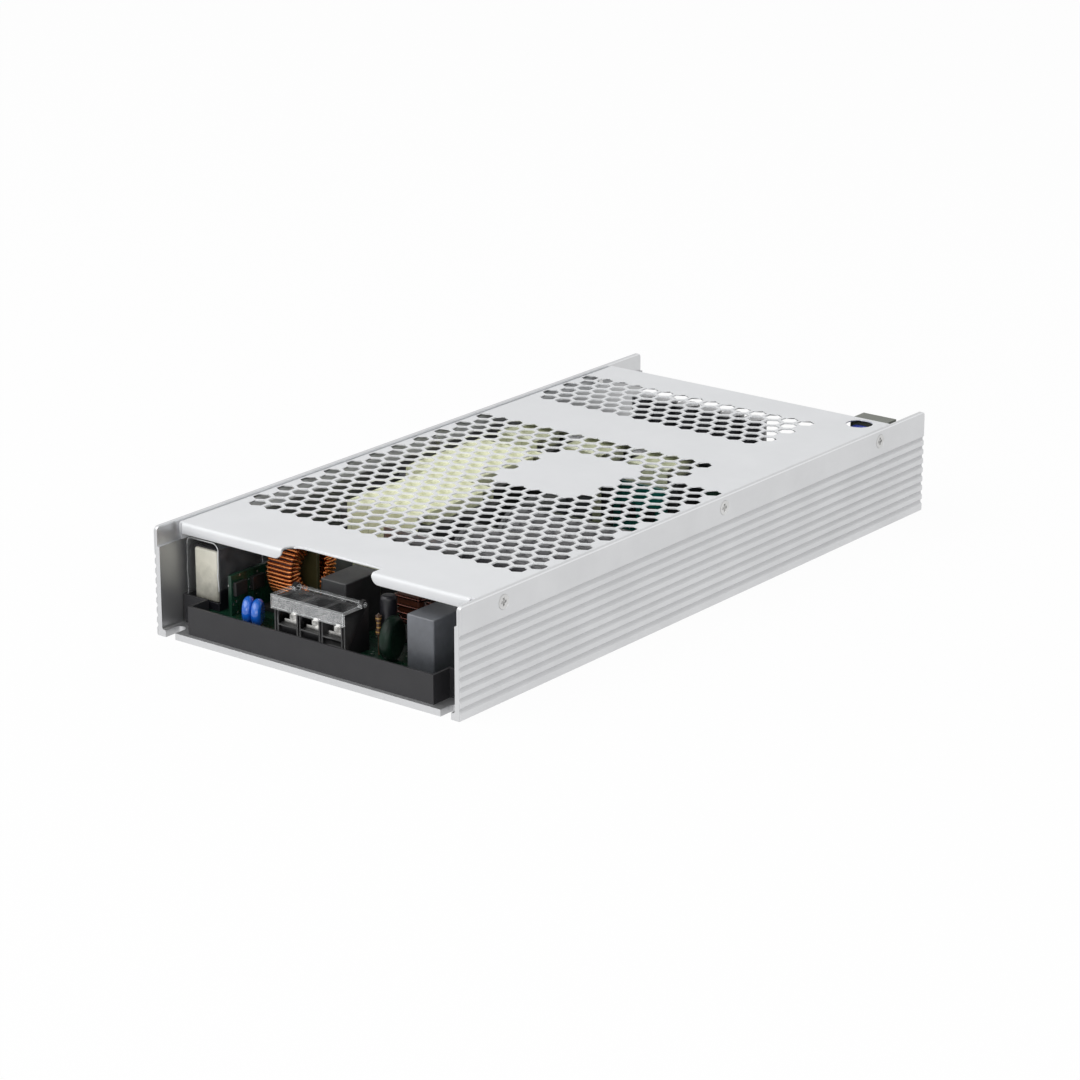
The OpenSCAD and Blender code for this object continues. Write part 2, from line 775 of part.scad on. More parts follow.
// The cover's section across its width
module cover_plan() {
    translate([-cover_half + bend_r, under_cover]) square([2 * (cover_half - bend_r), cover_t]);
    for (m = [0, 1]) {
        mirror([m, 0]) {
            translate([-cover_half + bend_r, cover_top - bend_r]) bend_plan();
            translate([-cover_half, ledge_z]) square([cover_t, cover_top - bend_r - ledge_z]);
        }
    }
}

// The front flange's section along the cover's length
module front_plan() {
    translate([bend_r, -cover_t]) square([bend_r, cover_t]);
    translate([bend_r, -bend_r]) bend_plan();
    translate([0, -front_flange_h]) square([cover_t, front_flange_h - bend_r]);
}

module top_cover() {
    color("gainsboro") difference() {
        union() {
            along_y(cover_y0 + bend_r, cover_y1) cover_plan();
            translate([-flange_half, cover_y0, cover_top]) rotate([90, 0, 90]) {
                linear_extrude(2 * flange_half) front_plan();
            }
        }
        translate([0, 0, under_cover - cut]) linear_extrude(cover_t + 2 * cut) perforation();
        translate([adjust_x, adjust_y, under_cover - cut]) cylinder(d = adjust_hole_d, h = cover_t + 2 * cut);
        translate([0, cover_y0, cover_top - front_flange_h - cut]) {
            linear_extrude(front_flange_h + 2 * cut) notch_plan();
        }
        for (m = [0, 1]) {
            flange_corner(m == 0 ? notch_left : notch_right, m);
        }
        at_cover_screws() countersunk(screw_fit, screw_l + cut);
    }
}

// The wiring notch, from the cover's front edge, with its left inner corner rounded
module notch_plan() {
    translate([notch_left, -cut]) square([notch_right - notch_left, notch_d - notch_r + cut]);
    translate([notch_left + notch_r, -cut]) square([notch_right - notch_left - notch_r, notch_d + cut]);
    translate([notch_left + notch_r, notch_d - notch_r]) circle(notch_r);
}

// Rounds a lower corner of the front flange beside the notch
module flange_corner(x, m) {
    translate([x, cover_y0, cover_top - front_flange_h]) mirror([m, 0, 0]) difference() {
        translate([-flange_r, -cut, -cut]) cube([flange_r + cut, cover_t + 2 * cut, flange_r + cut]);
        translate([-flange_r, 0, flange_r]) rotate([90, 0, 0]) {
            cylinder(r = flange_r, h = 2 * (cover_t + 2 * cut), center = true);
        }
    }
}

// Whether a place in the main field keeps its hole
function main_open(x, y) =
    !(x > blank_left && x < blank_right && y > blank_y0 && y < blank_y1) && !(x > short_right && y > short_y);

// A hexagon with its corners along Y
module hexagon() {
    rotate(90) circle(d = hex_af / cos(30), $fn = 6);
}

// One column of hexagons across the width, shorter by one hole in every other column
module hex_column(i, y, right_limit) {
    count = hex_rows - (i + 1) % 2;
    for (k = [0 : count - 1]) {
        x = (k - (count - 1) / 2) * hex_pitch;
        if (main_open(x, y) && x < right_limit) {
            translate([x, y]) hexagon();
        }
    }
}

module perforation() {
    for (i = [0 : main_columns - 1]) {
        hex_column(i, main_y + i * column_pitch, body_w);
    }
    for (i = [0 : rear_columns - 1]) {
        hex_column(i, rear_y0 + i * column_pitch, short_right);
    }
}

module cover_screws() {
    color("gray") at_cover_screws() difference() {
        countersunk(0, screw_l);
        cross_drive(screw_head_d);
    }
}

module insulating_tray() {
    color([0.1, 0.1, 0.11]) difference() {
        translate([0, 0, base_t]) linear_extrude(tray_h) stepped_plan(0);
        translate([0, 0, tray_floor]) linear_extrude(tray_h) stepped_plan(tray_t);
        at_standoffs() translate([0, 0, base_t - cut]) {
            cylinder(d = standoff_d + 2 * tray_fit, h = tray_t + 2 * cut);
        }
        for (m = [0, 1]) {
            mirror([m, 0, 0]) along_y(-tray_end, tray_end) translate([tray_half, base_t]) polygon([
                [-channel_r, 0],
                [cut, channel_r + cut],
                [cut, -cut],
                [-channel_r, -cut]
            ]);
        }
    }
}

module main_board() {
    color([0.1, 0.3, 0.18]) translate([0, 0, board_z]) difference() {
        linear_extrude(board_t) stepped_plan(board_inset);
        at_standoffs() translate([0, 0, -cut]) cylinder(d = screw_d + 2 * screw_fit, h = board_t + 2 * cut);
    }
}

module board_standoffs() {
    color("gold") at_standoffs() translate([0, 0, base_t]) difference() {
        cylinder(d = standoff_d, h = standoff_h);
        translate([0, 0, cut]) cylinder(d = screw_d + 2 * screw_fit, h = standoff_h);
    }
}

module board_screws() {
    color("lightgray") at_standoffs() translate([0, 0, board_top]) difference() {
        rotate_extrude() polygon([
            [0, board_screw_h],
            [board_screw_head / 2 - head_chamfer, board_screw_h],
            [board_screw_head / 2, board_screw_h - head_chamfer],
            [board_screw_head / 2, 0],
            [screw_d / 2, 0],
            [screw_d / 2, -standoff_h],
            [0, -standoff_h]
        ]);
        translate([0, 0, board_screw_h]) cross_drive(board_screw_head);
    }
}

// Centres of the poles across the block
function pole_x(i) = block_x + (i - (poles - 1) / 2) * pole_pitch;

module terminal_block() {
    rod_room = hinge_rod_d / 2 + clear_gap;
    color([0.09, 0.09, 0.1]) translate([block_x, 0, 0]) difference() {
        union() {
            brick([-block_w / 2, block_y0, board_top], [block_w, block_d, block_h]);
            for (s = [-1, 1]) {
                translate([s * (block_w / 2 - ear_t / 2) - ear_t / 2, hinge_y, 0]) {
                    brick([0, -ear_r, board_top], [ear_t, 2 * ear_r, hinge_z - board_top]);
                    translate([0, 0, hinge_z]) rotate([0, 90, 0]) cylinder(r = ear_r, h = ear_t);
                }
            }
        }
        for (i = [0 : poles - 1]) {
            brick(
                [pole_x(i) - block_x - (pole_pitch - barrier_t) / 2, block_y0 - cut, cell_z],
                [pole_pitch - barrier_t, cell_d + cut, block_h]
            );
            translate([pole_x(i) - block_x, pole_y, board_top + cut]) {
                cylinder(d = pole_screw_d + 2 * screw_fit, h = block_h);
            }
        }
        translate([-block_w / 2 + ear_t, hinge_y - rod_room, hinge_z - rod_room]) {
            cube([block_w - 2 * ear_t, block_d, block_h]);
        }
        translate([-block_w, hinge_y, hinge_z]) rotate([0, 90, 0]) {
            cylinder(d = hinge_pin_d + 2 * hinge_fit, h = 2 * block_w);
        }
    }
}

module terminal_plates() {
    plate_w = pole_pitch - barrier_t - 2 * plate_fit;
    plate_l = cell_d - plate_setback - plate_fit;
    color("silver") for (i = [0 : poles - 1]) {
        translate([pole_x(i), pole_y, cell_z]) difference() {
            brick([-plate_w / 2, -cell_d / 2 + plate_setback, 0], [plate_w, plate_l, plate_t]);
            translate([0, 0, -cut]) cylinder(d = pole_screw_d + 2 * screw_fit, h = plate_t + 2 * cut);
        }
    }
}

module terminal_washers() {
    color("gainsboro") for (i = [0 : poles - 1]) {
        translate([pole_x(i), pole_y, cell_z + plate_t]) difference() {
            brick([-washer_w / 2, -washer_w / 2, 0], [washer_w, washer_w, washer_t]);
            translate([0, 0, -cut]) cylinder(d = pole_screw_d + 2 * screw_fit, h = washer_t + 2 * cut);
        }
    }
}

module terminal_screws() {
    seat = plate_t + washer_t;
    color("gainsboro") for (i = [0 : poles - 1]) {
        translate([pole_x(i), pole_y, cell_z + seat]) difference() {
            rotate_extrude() polygon([
                [0, -seat - cell_floor / 2],
                [pole_screw_d / 2, -seat - cell_floor / 2],
                [pole_screw_d / 2, 0],
                [pole_head_d / 2, 0],
                [pole_head_d / 2, pole_head_h - head_chamfer],
                [pole_head_d / 2 - head_chamfer, pole_head_h],
                [0, pole_head_h]
            ]);
            translate([0, 0, pole_head_h]) cross_drive(pole_head_d);
        }
    }
}

module terminal_cover() {
    inner_half = block_w / 2 - ear_t - clear_gap;
    ear_front = hinge_y - ear_r - clear_gap;
    color([0.8, 0.85, 0.9, 0.35]) translate([block_x, 0, 0]) {
        translate([-clear_half, lip_y - clear_t, hinge_z - clear_t / 2]) {
            cube([2 * clear_half, ear_front - lip_y + clear_t, clear_t]);
            brick([0, 0, clear_t - clear_lip], [2 * clear_half, clear_t, clear_lip]);
        }
        translate([-inner_half, ear_front, hinge_z - clear_t / 2]) {
            cube([2 * inner_half, hinge_y - ear_front, clear_t]);
        }
        translate([0, hinge_y, hinge_z]) rotate([0, 90, 0]) {
            translate([0, 0, -inner_half]) cylinder(d = hinge_rod_d, h = 2 * inner_half);
            translate([0, 0, -block_w / 2]) cylinder(d = hinge_pin_d, h = block_w);
        }
    }
}

module line_capacitor() {
    color([0.86, 0.84, 0.76]) brick(
        [line_x, line_y, board_top + line_cap_lift],
        [line_cap[0], line_cap[1], line_cap_h]
    );
}

// A sleeve over the sides and top of the line capacitor, with a plinth under it
module line_capacitor_sleeve() {
    length = line_cap[1] - sleeve_setback;
    top = line_cap_lift + line_cap_h;
    color([0.2, 0.19, 0.23]) translate([line_x - sleeve_t, line_y, board_top]) {
        cube([line_cap[0] + 2 * sleeve_t, line_cap[1], line_cap_lift]);
        translate([0, sleeve_setback, 0]) difference() {
            cube([line_cap[0] + 2 * sleeve_t, length, top + sleeve_t]);
            brick([sleeve_t, -cut, -cut], [line_cap[0], length + 2 * cut, top + cut]);
        }
    }
}

// An upright outline with rounded upper corners, from a given level
module arch_plan(width, height, r, level) {
    translate([0, level]) square([width, height - r - level]);
    translate([r, level]) square([width - 2 * r, height - level]);
    for (x = [r, width - r]) {
        translate([x, height - r]) circle(r);
    }
}

// The film stands beside the left wall, crosses above the line capacitor and hangs down at its right
module insulating_film() {
    color([0.85, 0.88, 0.9, 0.4]) along_y(line_y - sleeve_setback, line_y + line_cap[1]) {
        translate([film_x, board_top]) difference() {
            arch_plan(film_w, film_h, film_fold_r, 0);
            translate([film_t, 0]) {
                arch_plan(film_w - 2 * film_t, film_h - film_t, film_fold_r - film_t, -cut);
            }
            translate([film_w / 2, -cut]) square([film_w, film_lift + cut]);
        }
    }
}

module control_board() {
    color([0.05, 0.3, 0.2]) brick(
        [control_x, line_y - sleeve_setback, board_top],
        [small_board_t, control_size[0], control_size[1]]
    );
}

module control_chips() {
    color([0.1, 0.1, 0.1]) for (k = [0 : 2]) {
        brick([control_x + small_board_t, line_y + k * chip_pitch, board_top + control_size[1] / 2], chip);
    }
}

// A round-edged disc that stands on the board with its faces to the sides
module upright_disc(diameter, thickness) {
    edge = disc_round * thickness;
    translate([0, 0, diameter / 2 + lead_gap]) rotate([0, 90, 0]) translate([0, 0, -thickness / 2]) {
        rotate_extrude() {
            square([diameter / 2 - edge, thickness]);
            translate([0, edge]) square([diameter / 2, thickness - 2 * edge]);
            for (z = [edge, thickness - edge]) {
                translate([diameter / 2 - edge, z]) circle(edge);
            }
        }
    }
}

module y_capacitors() {
    color([0.12, 0.36, 0.75]) for (k = [0, 1]) {
        translate([left_x + disc_side + k * disc_pitch, front_y + disc_front, board_top]) rotate(disc_turn) {
            upright_disc(disc_d, disc_t);
        }
    }
}

module varistor() {
    color([0.1, 0.26, 0.17]) translate([varistor_x, front_y + varistor_front, board_top]) {
        rotate(varistor_turn) upright_disc(varistor_d, varistor_t);
    }
}

// A box capacitor with rounded upright edges
module box_capacitor(size) {
    linear_extrude(size[2]) rounded_plan([size[0], size[1]], box_r);
}

module x_capacitor() {
    color([0.2, 0.2, 0.22]) translate([x_cap_left, front_y + x_cap_front, board_top]) box_capacitor(x_cap);
}

module filter_capacitor() {
    color([0.25, 0.26, 0.28]) translate([
        right_x - filter_cap_side - filter_cap[0],
        front_y + filter_cap_front,
        board_top
    ]) box_capacitor(filter_cap);
}

module input_fuse() {
    dome = fuse_d / 4;
    color([0.13, 0.12, 0.14]) translate([fuse_x, front_y + fuse_front, board_top]) rotate_extrude() {
        square([fuse_d / 2, fuse_h - dome]);
        square([fuse_d / 2 - dome, fuse_h]);
        translate([fuse_d / 2 - dome, fuse_h - dome]) circle(dome);
    }
}

module bleed_resistor() {
    color([0.75, 0.6, 0.4]) translate([resistor_x, front_y + resistor_front, board_top]) rotate_extrude() {
        square([resistor_lead / 2, resistor_lift + resistor_l + resistor_lead]);
        translate([0, resistor_lift]) square([resistor_d / 2 - resistor_step, resistor_l]);
        for (z = [0, resistor_l - resistor_end]) {
            translate([0, resistor_lift + z]) square([resistor_d / 2, resistor_end]);
        }
    }
}

module toroid(x, y) {
    translate([x - core_w / 2, y, choke_z]) rotate([0, 90, 0]) rotate_extrude() {
        translate([core_r - core_ring, 0]) rounded_plan([core_ring, core_w], core_edge);
    }
}

// One closed turn of wire: a rounded rectangle in the plane of X and Y, from the inner to the outer radius
module wire_turn(inner, outer, half) {
    fold = wire_d;
    for (s = [-1, 1]) {
        translate([inner + fold, s * half, 0]) rotate([0, 90, 0]) {
            cylinder(d = wire_d, h = outer - inner - 2 * fold);
        }
    }
    for (x = [inner, outer]) {
        translate([x, -half + fold, 0]) rotate([-90, 0, 0]) cylinder(d = wire_d, h = 2 * (half - fold));
    }
    translate([outer - fold, half - fold, 0]) wire_fold(0, fold);
    translate([inner + fold, half - fold, 0]) wire_fold(90, fold);
    translate([inner + fold, -half + fold, 0]) wire_fold(180, fold);
    translate([outer - fold, -half + fold, 0]) wire_fold(270, fold);
}

module wire_fold(angle, fold) {
    rotate(angle) rotate_extrude(angle = 90) translate([fold, 0]) circle(d = wire_d);
}

// A winding on one half of a toroid, with every second turn one layer further into the hole
module winding(x, y, facing, step) {
    layer = wire_d + wire_gap;
    middle = (turns - 1) / 2;
    for (i = [0 : step : turns - 1]) {
        upper = i % 2;
        translate([x, y, choke_z]) rotate([(i - middle) * turn_angle + facing, 0, 0]) rotate(-90) wire_turn(
            bore_r - upper * layer,
            core_r + layer / 2,
            core_w / 2 + layer / 2
        );
    }
}

module choke_core() {
    color([0.25, 0.3, 0.25]) toroid(choke_x, choke_y);
}

module choke_winding_front() {
    color([0.72, 0.38, 0.2]) winding(choke_x, choke_y, 0, 1);
}

module choke_winding_rear() {
    color([0.72, 0.38, 0.2]) winding(choke_x, choke_y, 180, 1);
}

// A comb with its spine at the right of the core and a tongue through the core's hole
module choke_divider() {
    gap = wire_gap * 2;
    half = winding_half + divider_reach;
    foot = board_top + choke_base_t;
    hole_r = core_r - core_ring - gap;
    color([0.35, 0.36, 0.2]) translate([choke_x, choke_y - divider_t / 2, 0]) difference() {
        brick([-half, 0, foot], [2 * half, divider_t, 2 * choke_r]);
        for (s = [-1, 1]) {
            z = s > 0 ? hole_r : -core_r - gap;
            brick(
                [-half - cut, -cut, choke_z + z],
                [half + cut + core_w / 2 + gap, divider_t + 2 * cut, core_ring + 2 * gap]
            );
        }
    }
}

// The flat base under a choke
module choke_foot(x, y) {
    half = winding_half + divider_reach;
    translate([x - half, y - choke_r, board_top]) linear_extrude(choke_base_t) {
        rounded_plan([2 * half, 2 * choke_r], coil_r);
    }
}

module choke_base() {
    color([0.1, 0.1, 0.1]) choke_foot(choke_x, choke_y);
}

module second_choke_core() {
    color([0.25, 0.3, 0.25]) toroid(second_choke_x, second_choke_y);
}

module second_choke_winding() {
    color([0.5, 0.2, 0.14]) for (facing = [0, 180]) {
        winding(second_choke_x, second_choke_y, facing, 2);
    }
}

module second_choke_base() {
    saddle_h = choke_r - core_r + choke_seat - lead_gap;
    color([0.1, 0.1, 0.1]) {
        choke_foot(second_choke_x, second_choke_y);
        brick(
            [second_choke_x - core_w / 2, second_choke_y - saddle_w / 2, board_top + choke_base_t],
            [core_w, saddle_w, saddle_h]
        );
    }
}

module inrush_relay() {
    color([0.12, 0.12, 0.13]) translate([right_x - relay_side - relay[0], front_y + relay_front, board_top]) {
        box_capacitor(relay);
    }
}

module rectifier_bridge() {
    color([0.12, 0.12, 0.13]) translate([-bridge[0] / 2, bridge_y, board_top]) difference() {
        cube(bridge);
        translate([bridge[0] / 2, -cut, bridge_hole_z]) rotate([-90, 0, 0]) {
            cylinder(d = bridge_hole_d, h = bridge[1] + 2 * cut);
        }
    }
}

// An upright heatsink along X, grooved on its rear face
module finned_plate(size) {
    count = floor((size[0] - fin_w) / fin_pitch);
    difference() {
        cube(size);
        for (k = [0 : count - 1]) {
            x = size[0] / 2 + (k - (count - 1) / 2) * fin_pitch;
            brick([x - fin_w / 2, size[1] - fin_d, -cut], [fin_w, fin_d + cut, size[2] + 2 * cut]);
        }
    }
}

module bridge_heatsink() {
    color("silver") translate([-bridge_sink[0] / 2, bridge_y + bridge[1], board_top]) {
        finned_plate(bridge_sink);
    }
}

module rectifier_capacitor() {
    color([0.3, 0.3, 0.32]) translate([
        left_x + rectifier_cap_side,
        rectifier_cap_y,
        board_top
    ]) box_capacitor(rectifier_cap);
}

// A ferrite core lying along Y: two yokes, two outer legs and a centre leg
module ferrite(size, height, yoke, leg) {
    side = leg / 2;
    for (y = [0, size[1] - yoke]) {
        brick([0, y, 0], [size[0], yoke, height]);
    }
    for (x = [0, size[0] - side]) {
        brick([x, 0, 0], [side, size[1], height]);
    }
    brick([(size[0] - leg) / 2, 0, 0], [leg, size[1], height]);
}

// A coil around the centre leg, standing above and below the core
module taped_coil(size, height, yoke, leg, core_z, core_h, r) {
    side = leg / 2 + ferrite_gap;
    width = size[0] - 2 * side;
    length = size[1] - 2 * yoke - 2 * ferrite_gap;
    translate([side, yoke + ferrite_gap, 0]) difference() {
        translate([0, length, 0]) rotate([90, 0, 0]) linear_extrude(length) rounded_plan([width, height], r);
        brick(
            [(width - leg) / 2 - ferrite_gap, -cut, core_z - ferrite_gap],
            [leg + 2 * ferrite_gap, length + 2 * cut, core_h + 2 * ferrite_gap]
        );
    }
}

// A band of tape over the top of a coil and down both ends of its core
module tape_band(size, height, leg) {
    side = leg / 2 + ferrite_gap;
    reach = ferrite_gap + tape_t;
    translate([side, -reach, 0]) difference() {
        cube([size[0] - 2 * side, size[1] + 2 * reach, height]);
        brick([-cut, tape_t, -cut], [size[0], size[1] + 2 * ferrite_gap, height - tape_t + cut]);
    }
}

module large_core(x, y, size) {
    translate([x, y, board_top + core_lift]) ferrite(size, ferrite_h, yoke_t, leg_w);
}

module large_coil(x, y, size) {
    translate([x, y, board_top + lead_gap]) {
        taped_coil(size, coil_h, yoke_t, leg_w, core_lift - lead_gap, ferrite_h, tape_t);
        tape_band(size, coil_h, leg_w);
    }
}

module boost_core() {
    color([0.2, 0.2, 0.21]) large_core(boost_x, boost_y, boost_size);
}

module boost_coil() {
    color([0.9, 0.9, 0.6]) large_coil(boost_x, boost_y, boost_size);
}

module main_core() {
    color([0.2, 0.2, 0.21]) large_core(main_x, main_trans_y, main_size);
}

module main_coil() {
    color([0.9, 0.9, 0.6]) large_coil(main_x, main_trans_y, main_size);
}

// Left edge of an output transformer
function output_left(k) = output_coil_x + k * (output_size[0] + magnetic_gap);

module output_core() {
    color([0.2, 0.2, 0.21]) for (k = [0 : output_count - 1]) {
        large_core(output_left(k), output_coil_y, output_size);
    }
}

module output_coil() {
    color([0.8, 0.8, 0.6]) for (k = [0 : output_count - 1]) {
        large_coil(output_left(k), output_coil_y, output_size);
    }
}

module standby_core() {
    color([0.2, 0.2, 0.21]) translate(standby_at) {
        translate([0, 0, standby_core_z]) ferrite(standby, standby_core_h, standby_yoke, standby_leg);
        for (y = [0, standby[1] - standby_yoke]) {
            brick([0, y, 0], [standby[0], standby_yoke, standby_core_z]);
        }
    }
}

module standby_coil() {
    color([0.9, 0.85, 0.4]) translate(standby_at) translate([0, 0, lead_gap]) {
        taped_coil(
            standby, standby[2], standby_yoke, standby_leg, standby_core_z - lead_gap, standby_core_h, coil_r
        );
    }
}

// Centre lines of the two bulk capacitors
function bulk_y(k) = boost_y + bulk_d / 2 + k * (bulk_d + bulk_gap);

// Can with a crimped groove near its open end, along its own axis
module crimped_can(diameter, length) {
    rotate_extrude() difference() {
        square([diameter / 2, length]);
        translate([diameter / 2, crimp_end]) circle(crimp_d);
    }
}

// Lays both bulk capacitors down with their axis along X
module at_bulk(x) {
    for (k = [0, 1]) {
        translate([x, bulk_y(k), board_top + lead_gap + bulk_d / 2]) rotate([0, 90, 0]) children();
    }
}

module bulk_capacitors() {
    color([0.11, 0.11, 0.13]) at_bulk(bulk_x0) crimped_can(bulk_d, bulk_l - can_end_t);
}

// The bare ends of all the capacitor cans
module capacitor_ends() {
    color("silver") {
        at_bulk(bulk_x0 + bulk_l - can_end_t) can_end(bulk_d);
        at_tall_cans() translate([0, 0, output_can_h - can_end_t]) can_end(output_can_d);
        at_short_cans() translate([0, 0, short_can_h - can_end_t]) can_end(short_can_d);
    }
}

module can_end(diameter) {
    cylinder(d = diameter - 2 * crimp_d, h = can_end_t);
}

module resonant_capacitors() {
    color([0.32, 0.3, 0.28]) for (k = [0, 1]) {
        translate([
            resonant_left,
            resonant_y + k * (resonant_cap[1] + part_gap),
            board_top
        ]) box_capacitor(resonant_cap);
    }
}

module primary_heatsink() {
    color("silver") translate([primary_x, primary_y, board_top]) {
        mirror([1, -1, 0]) finned_plate(primary_sink);
    }
}

// Transistors in a row along X, flat against the plane of X and Z
module transistor_row() {
    for (k = [0 : transistor_count - 1]) {
        brick([k * (transistor[0] + transistor_gap), 0, 0], transistor);
    }
}

module primary_transistors() {
    color([0.1, 0.1, 0.11]) translate([primary_x - transistor[1], primary_y, board_top]) {
        mirror([1, -1, 0]) transistor_row();
    }
}

module driver_board() {
    color([0.05, 0.4, 0.36]) brick(
        [driver_x, driver_y, board_top],
        [driver_size[0], small_board_t, driver_size[1]]
    );
}

module driver_chips() {
    color([0.1, 0.1, 0.1]) for (k = [0, 1]) {
        brick(
            [driver_x + chip_pitch / 2 + k * chip_pitch, driver_y - chip[0], board_top + driver_size[1] / 2],
            [chip[1], chip[0], chip[2]]
        );
    }
}

module output_heatsink() {
    color("silver") translate([left_x + output_sink_side, output_sink_y, board_top]) {
        finned_plate(output_sink);
    }
}

module output_transistors() {
    color([0.1, 0.1, 0.11]) translate([
        left_x + output_sink_side,
        output_sink_y - transistor[1],
        board_top
    ]) transistor_row();
}

// Places the row of tall capacitors in front of the output terminals
module at_tall_cans() {
    first = left_x + output_can_side + output_can_d / 2;
    y = output_y - output_bar_reach - can_gap - output_can_d / 2;
    for (k = [0 : output_can_count - 1]) {
        translate([first + k * (output_can_d + can_gap), y, board_top]) children();
    }
}

// Places the two rows of short capacitors behind the output heatsink
module at_short_cans() {
    first = left_x + output_sink_side + short_can_d / 2;
    y = output_sink_y + output_sink[1] + short_can_d;
    pitch = short_can_d + can_gap;
    for (k = [0 : 3], j = [0, 1]) {
        translate([first + k * pitch, y + j * pitch, board_top]) children();
    }
}

module output_capacitors() {
    color([0.12, 0.12, 0.16]) {
        at_tall_cans() crimped_can(output_can_d, output_can_h - can_end_t);
        at_short_cans() crimped_can(short_can_d, short_can_h - can_end_t);
    }
}

// Places one output terminal at the middle of its base
module at_outputs() {
    for (x = output_x) {
        translate([x, output_y + output_base_size[1] / 2, board_top]) children();
    }
}

module output_base() {
    cheek = (output_base_size[0] - output_bar_w) / 2 - lead_gap;
    color([0.1, 0.1, 0.11]) at_outputs() difference() {
        translate([-output_base_size[0] / 2, -output_base_size[1] / 2, 0]) {
            cube([output_base_size[0], output_base_size[1], output_base_size[2] + output_bar_t]);
        }
        brick(
            [-output_base_size[0] / 2 + cheek, -output_base_size[1], output_base_size[2]],
            [output_bar_w + 2 * lead_gap, 2 * output_base_size[1], output_bar_t + cut]
        );
        translate([0, 0, cut]) cylinder(d = output_screw_d + 2 * screw_fit, h = output_base_size[2]);
    }
}

// A flat bar across the base with a leg bent down to the board
module output_bars() {
    reach = output_base_size[1] / 2 + output_bar_reach;
    color("silver") at_outputs() difference() {
        union() {
            translate([-output_bar_w / 2, -reach, 0]) {
                cube([output_bar_w, output_bar_t, output_base_size[2] + output_bar_t]);
                translate([0, 0, output_base_size[2]]) {
                    cube([output_bar_w, reach + output_base_size[1] / 2, output_bar_t]);
                }
            }
        }
        cylinder(d = output_screw_d + 2 * screw_fit, h = output_base_size[2] + output_bar_t + cut);
    }
}

module output_screws() {
    top = output_base_size[2] + output_bar_t;
    color("gainsboro") at_outputs() {
        translate([0, 0, 2 * cut]) cylinder(d = output_screw_d, h = top);
        translate([0, 0, top]) cylinder(d = output_head_af / cos(30) + 2 * lead_gap, h = output_washer_t);
        translate([0, 0, top + output_washer_t]) {
            cylinder(d = output_head_af / cos(30), h = output_head_h, $fn = 6);
        }
    }
}

module signal_board() {
    legs = [signal_x, signal_x + signal_w - header_t];
    color([0.08, 0.3, 0.18]) {
        brick([signal_x, signal_y1 - signal_l, signal_z], [signal_w, signal_l, small_board_t]);
        for (x = legs) {
            brick([x, signal_y1 - signal_l, board_top], [header_t, header_t, signal_z - board_top]);
            brick([x, signal_y1 - header_t, board_top], [header_t, header_t, signal_z - board_top]);
        }
    }
}

// An open-ended socket with two rows of pins
module signal_connector() {
    x0 = signal_x + (signal_w - connector[0]) / 2;
    z0 = signal_z + small_board_t;
    color([0.2, 0.23, 0.2]) translate([x0, signal_y1 - connector[1], z0]) {
        difference() {
            cube(connector);
            brick(
                [connector_wall, 2 * connector_wall, connector_wall],
                [connector[0] - 2 * connector_wall, connector[1], connector[2] - 2 * connector_wall]
            );
        }
        for (k = [0 : connector_pins - 1], j = [0, 1]) {
            brick(
                [
                    connector[0] / 2 + (k - (connector_pins - 1) / 2) * pin_pitch - pin_w / 2,
                    connector_wall,
                    connector[2] / 2 + (j - 0.5) * pin_pitch - pin_w / 2
                ],
                [pin_w, connector[1] - 2 * connector_wall, pin_w]
            );
        }
    }
}

module trimmer_body() {
    z0 = signal_z + small_board_t;
    color([0.15, 0.2, 0.6]) translate([adjust_x, adjust_y, z0]) difference() {
        translate([-trimmer_w / 2, -trimmer_w / 2, 0]) cube([trimmer_w, trimmer_w, trimmer_h]);
        translate([0, 0, trimmer_h + rotor_proud - rotor_h - rotor_fit]) {
            cylinder(d = rotor_d + 2 * rotor_fit, h = rotor_h + cut);
        }
    }
}

module trimmer_rotor() {
    z0 = signal_z + small_board_t + trimmer_h + rotor_proud - rotor_h;
    color("white") translate([adjust_x, adjust_y, z0]) difference() {
        cylinder(d = rotor_d, h = rotor_h);
        translate([0, 0, rotor_h]) cross_drive(rotor_d);
    }
}

chassis();
top_cover();
cover_screws();
insulating_tray();
main_board();
board_standoffs();
board_screws();
terminal_block();
terminal_plates();
terminal_washers();
terminal_screws();
terminal_cover();
line_capacitor();
line_capacitor_sleeve();
insulating_film();
control_board();
control_chips();
y_capacitors();
x_capacitor();
filter_capacitor();
varistor();
input_fuse();
bleed_resistor();
choke_core();
choke_winding_front();
choke_winding_rear();
choke_divider();
choke_base();
second_choke_core();
second_choke_winding();
second_choke_base();
inrush_relay();
rectifier_bridge();
bridge_heatsink();
rectifier_capacitor();
standby_core();
standby_coil();
boost_core();
boost_coil();
main_core();
main_coil();
output_core();
output_coil();
bulk_capacitors();
capacitor_ends();
resonant_capacitors();
primary_heatsink();
primary_transistors();
driver_board();
driver_chips();
output_heatsink();
output_transistors();
output_capacitors();
output_base();
output_bars();
output_screws();
signal_board();
signal_connector();
trimmer_body();
trimmer_rotor();
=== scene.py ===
"""Looks of an enclosed fanless power supply: a grooved aluminium channel under a perforated cover."""

import json
import math

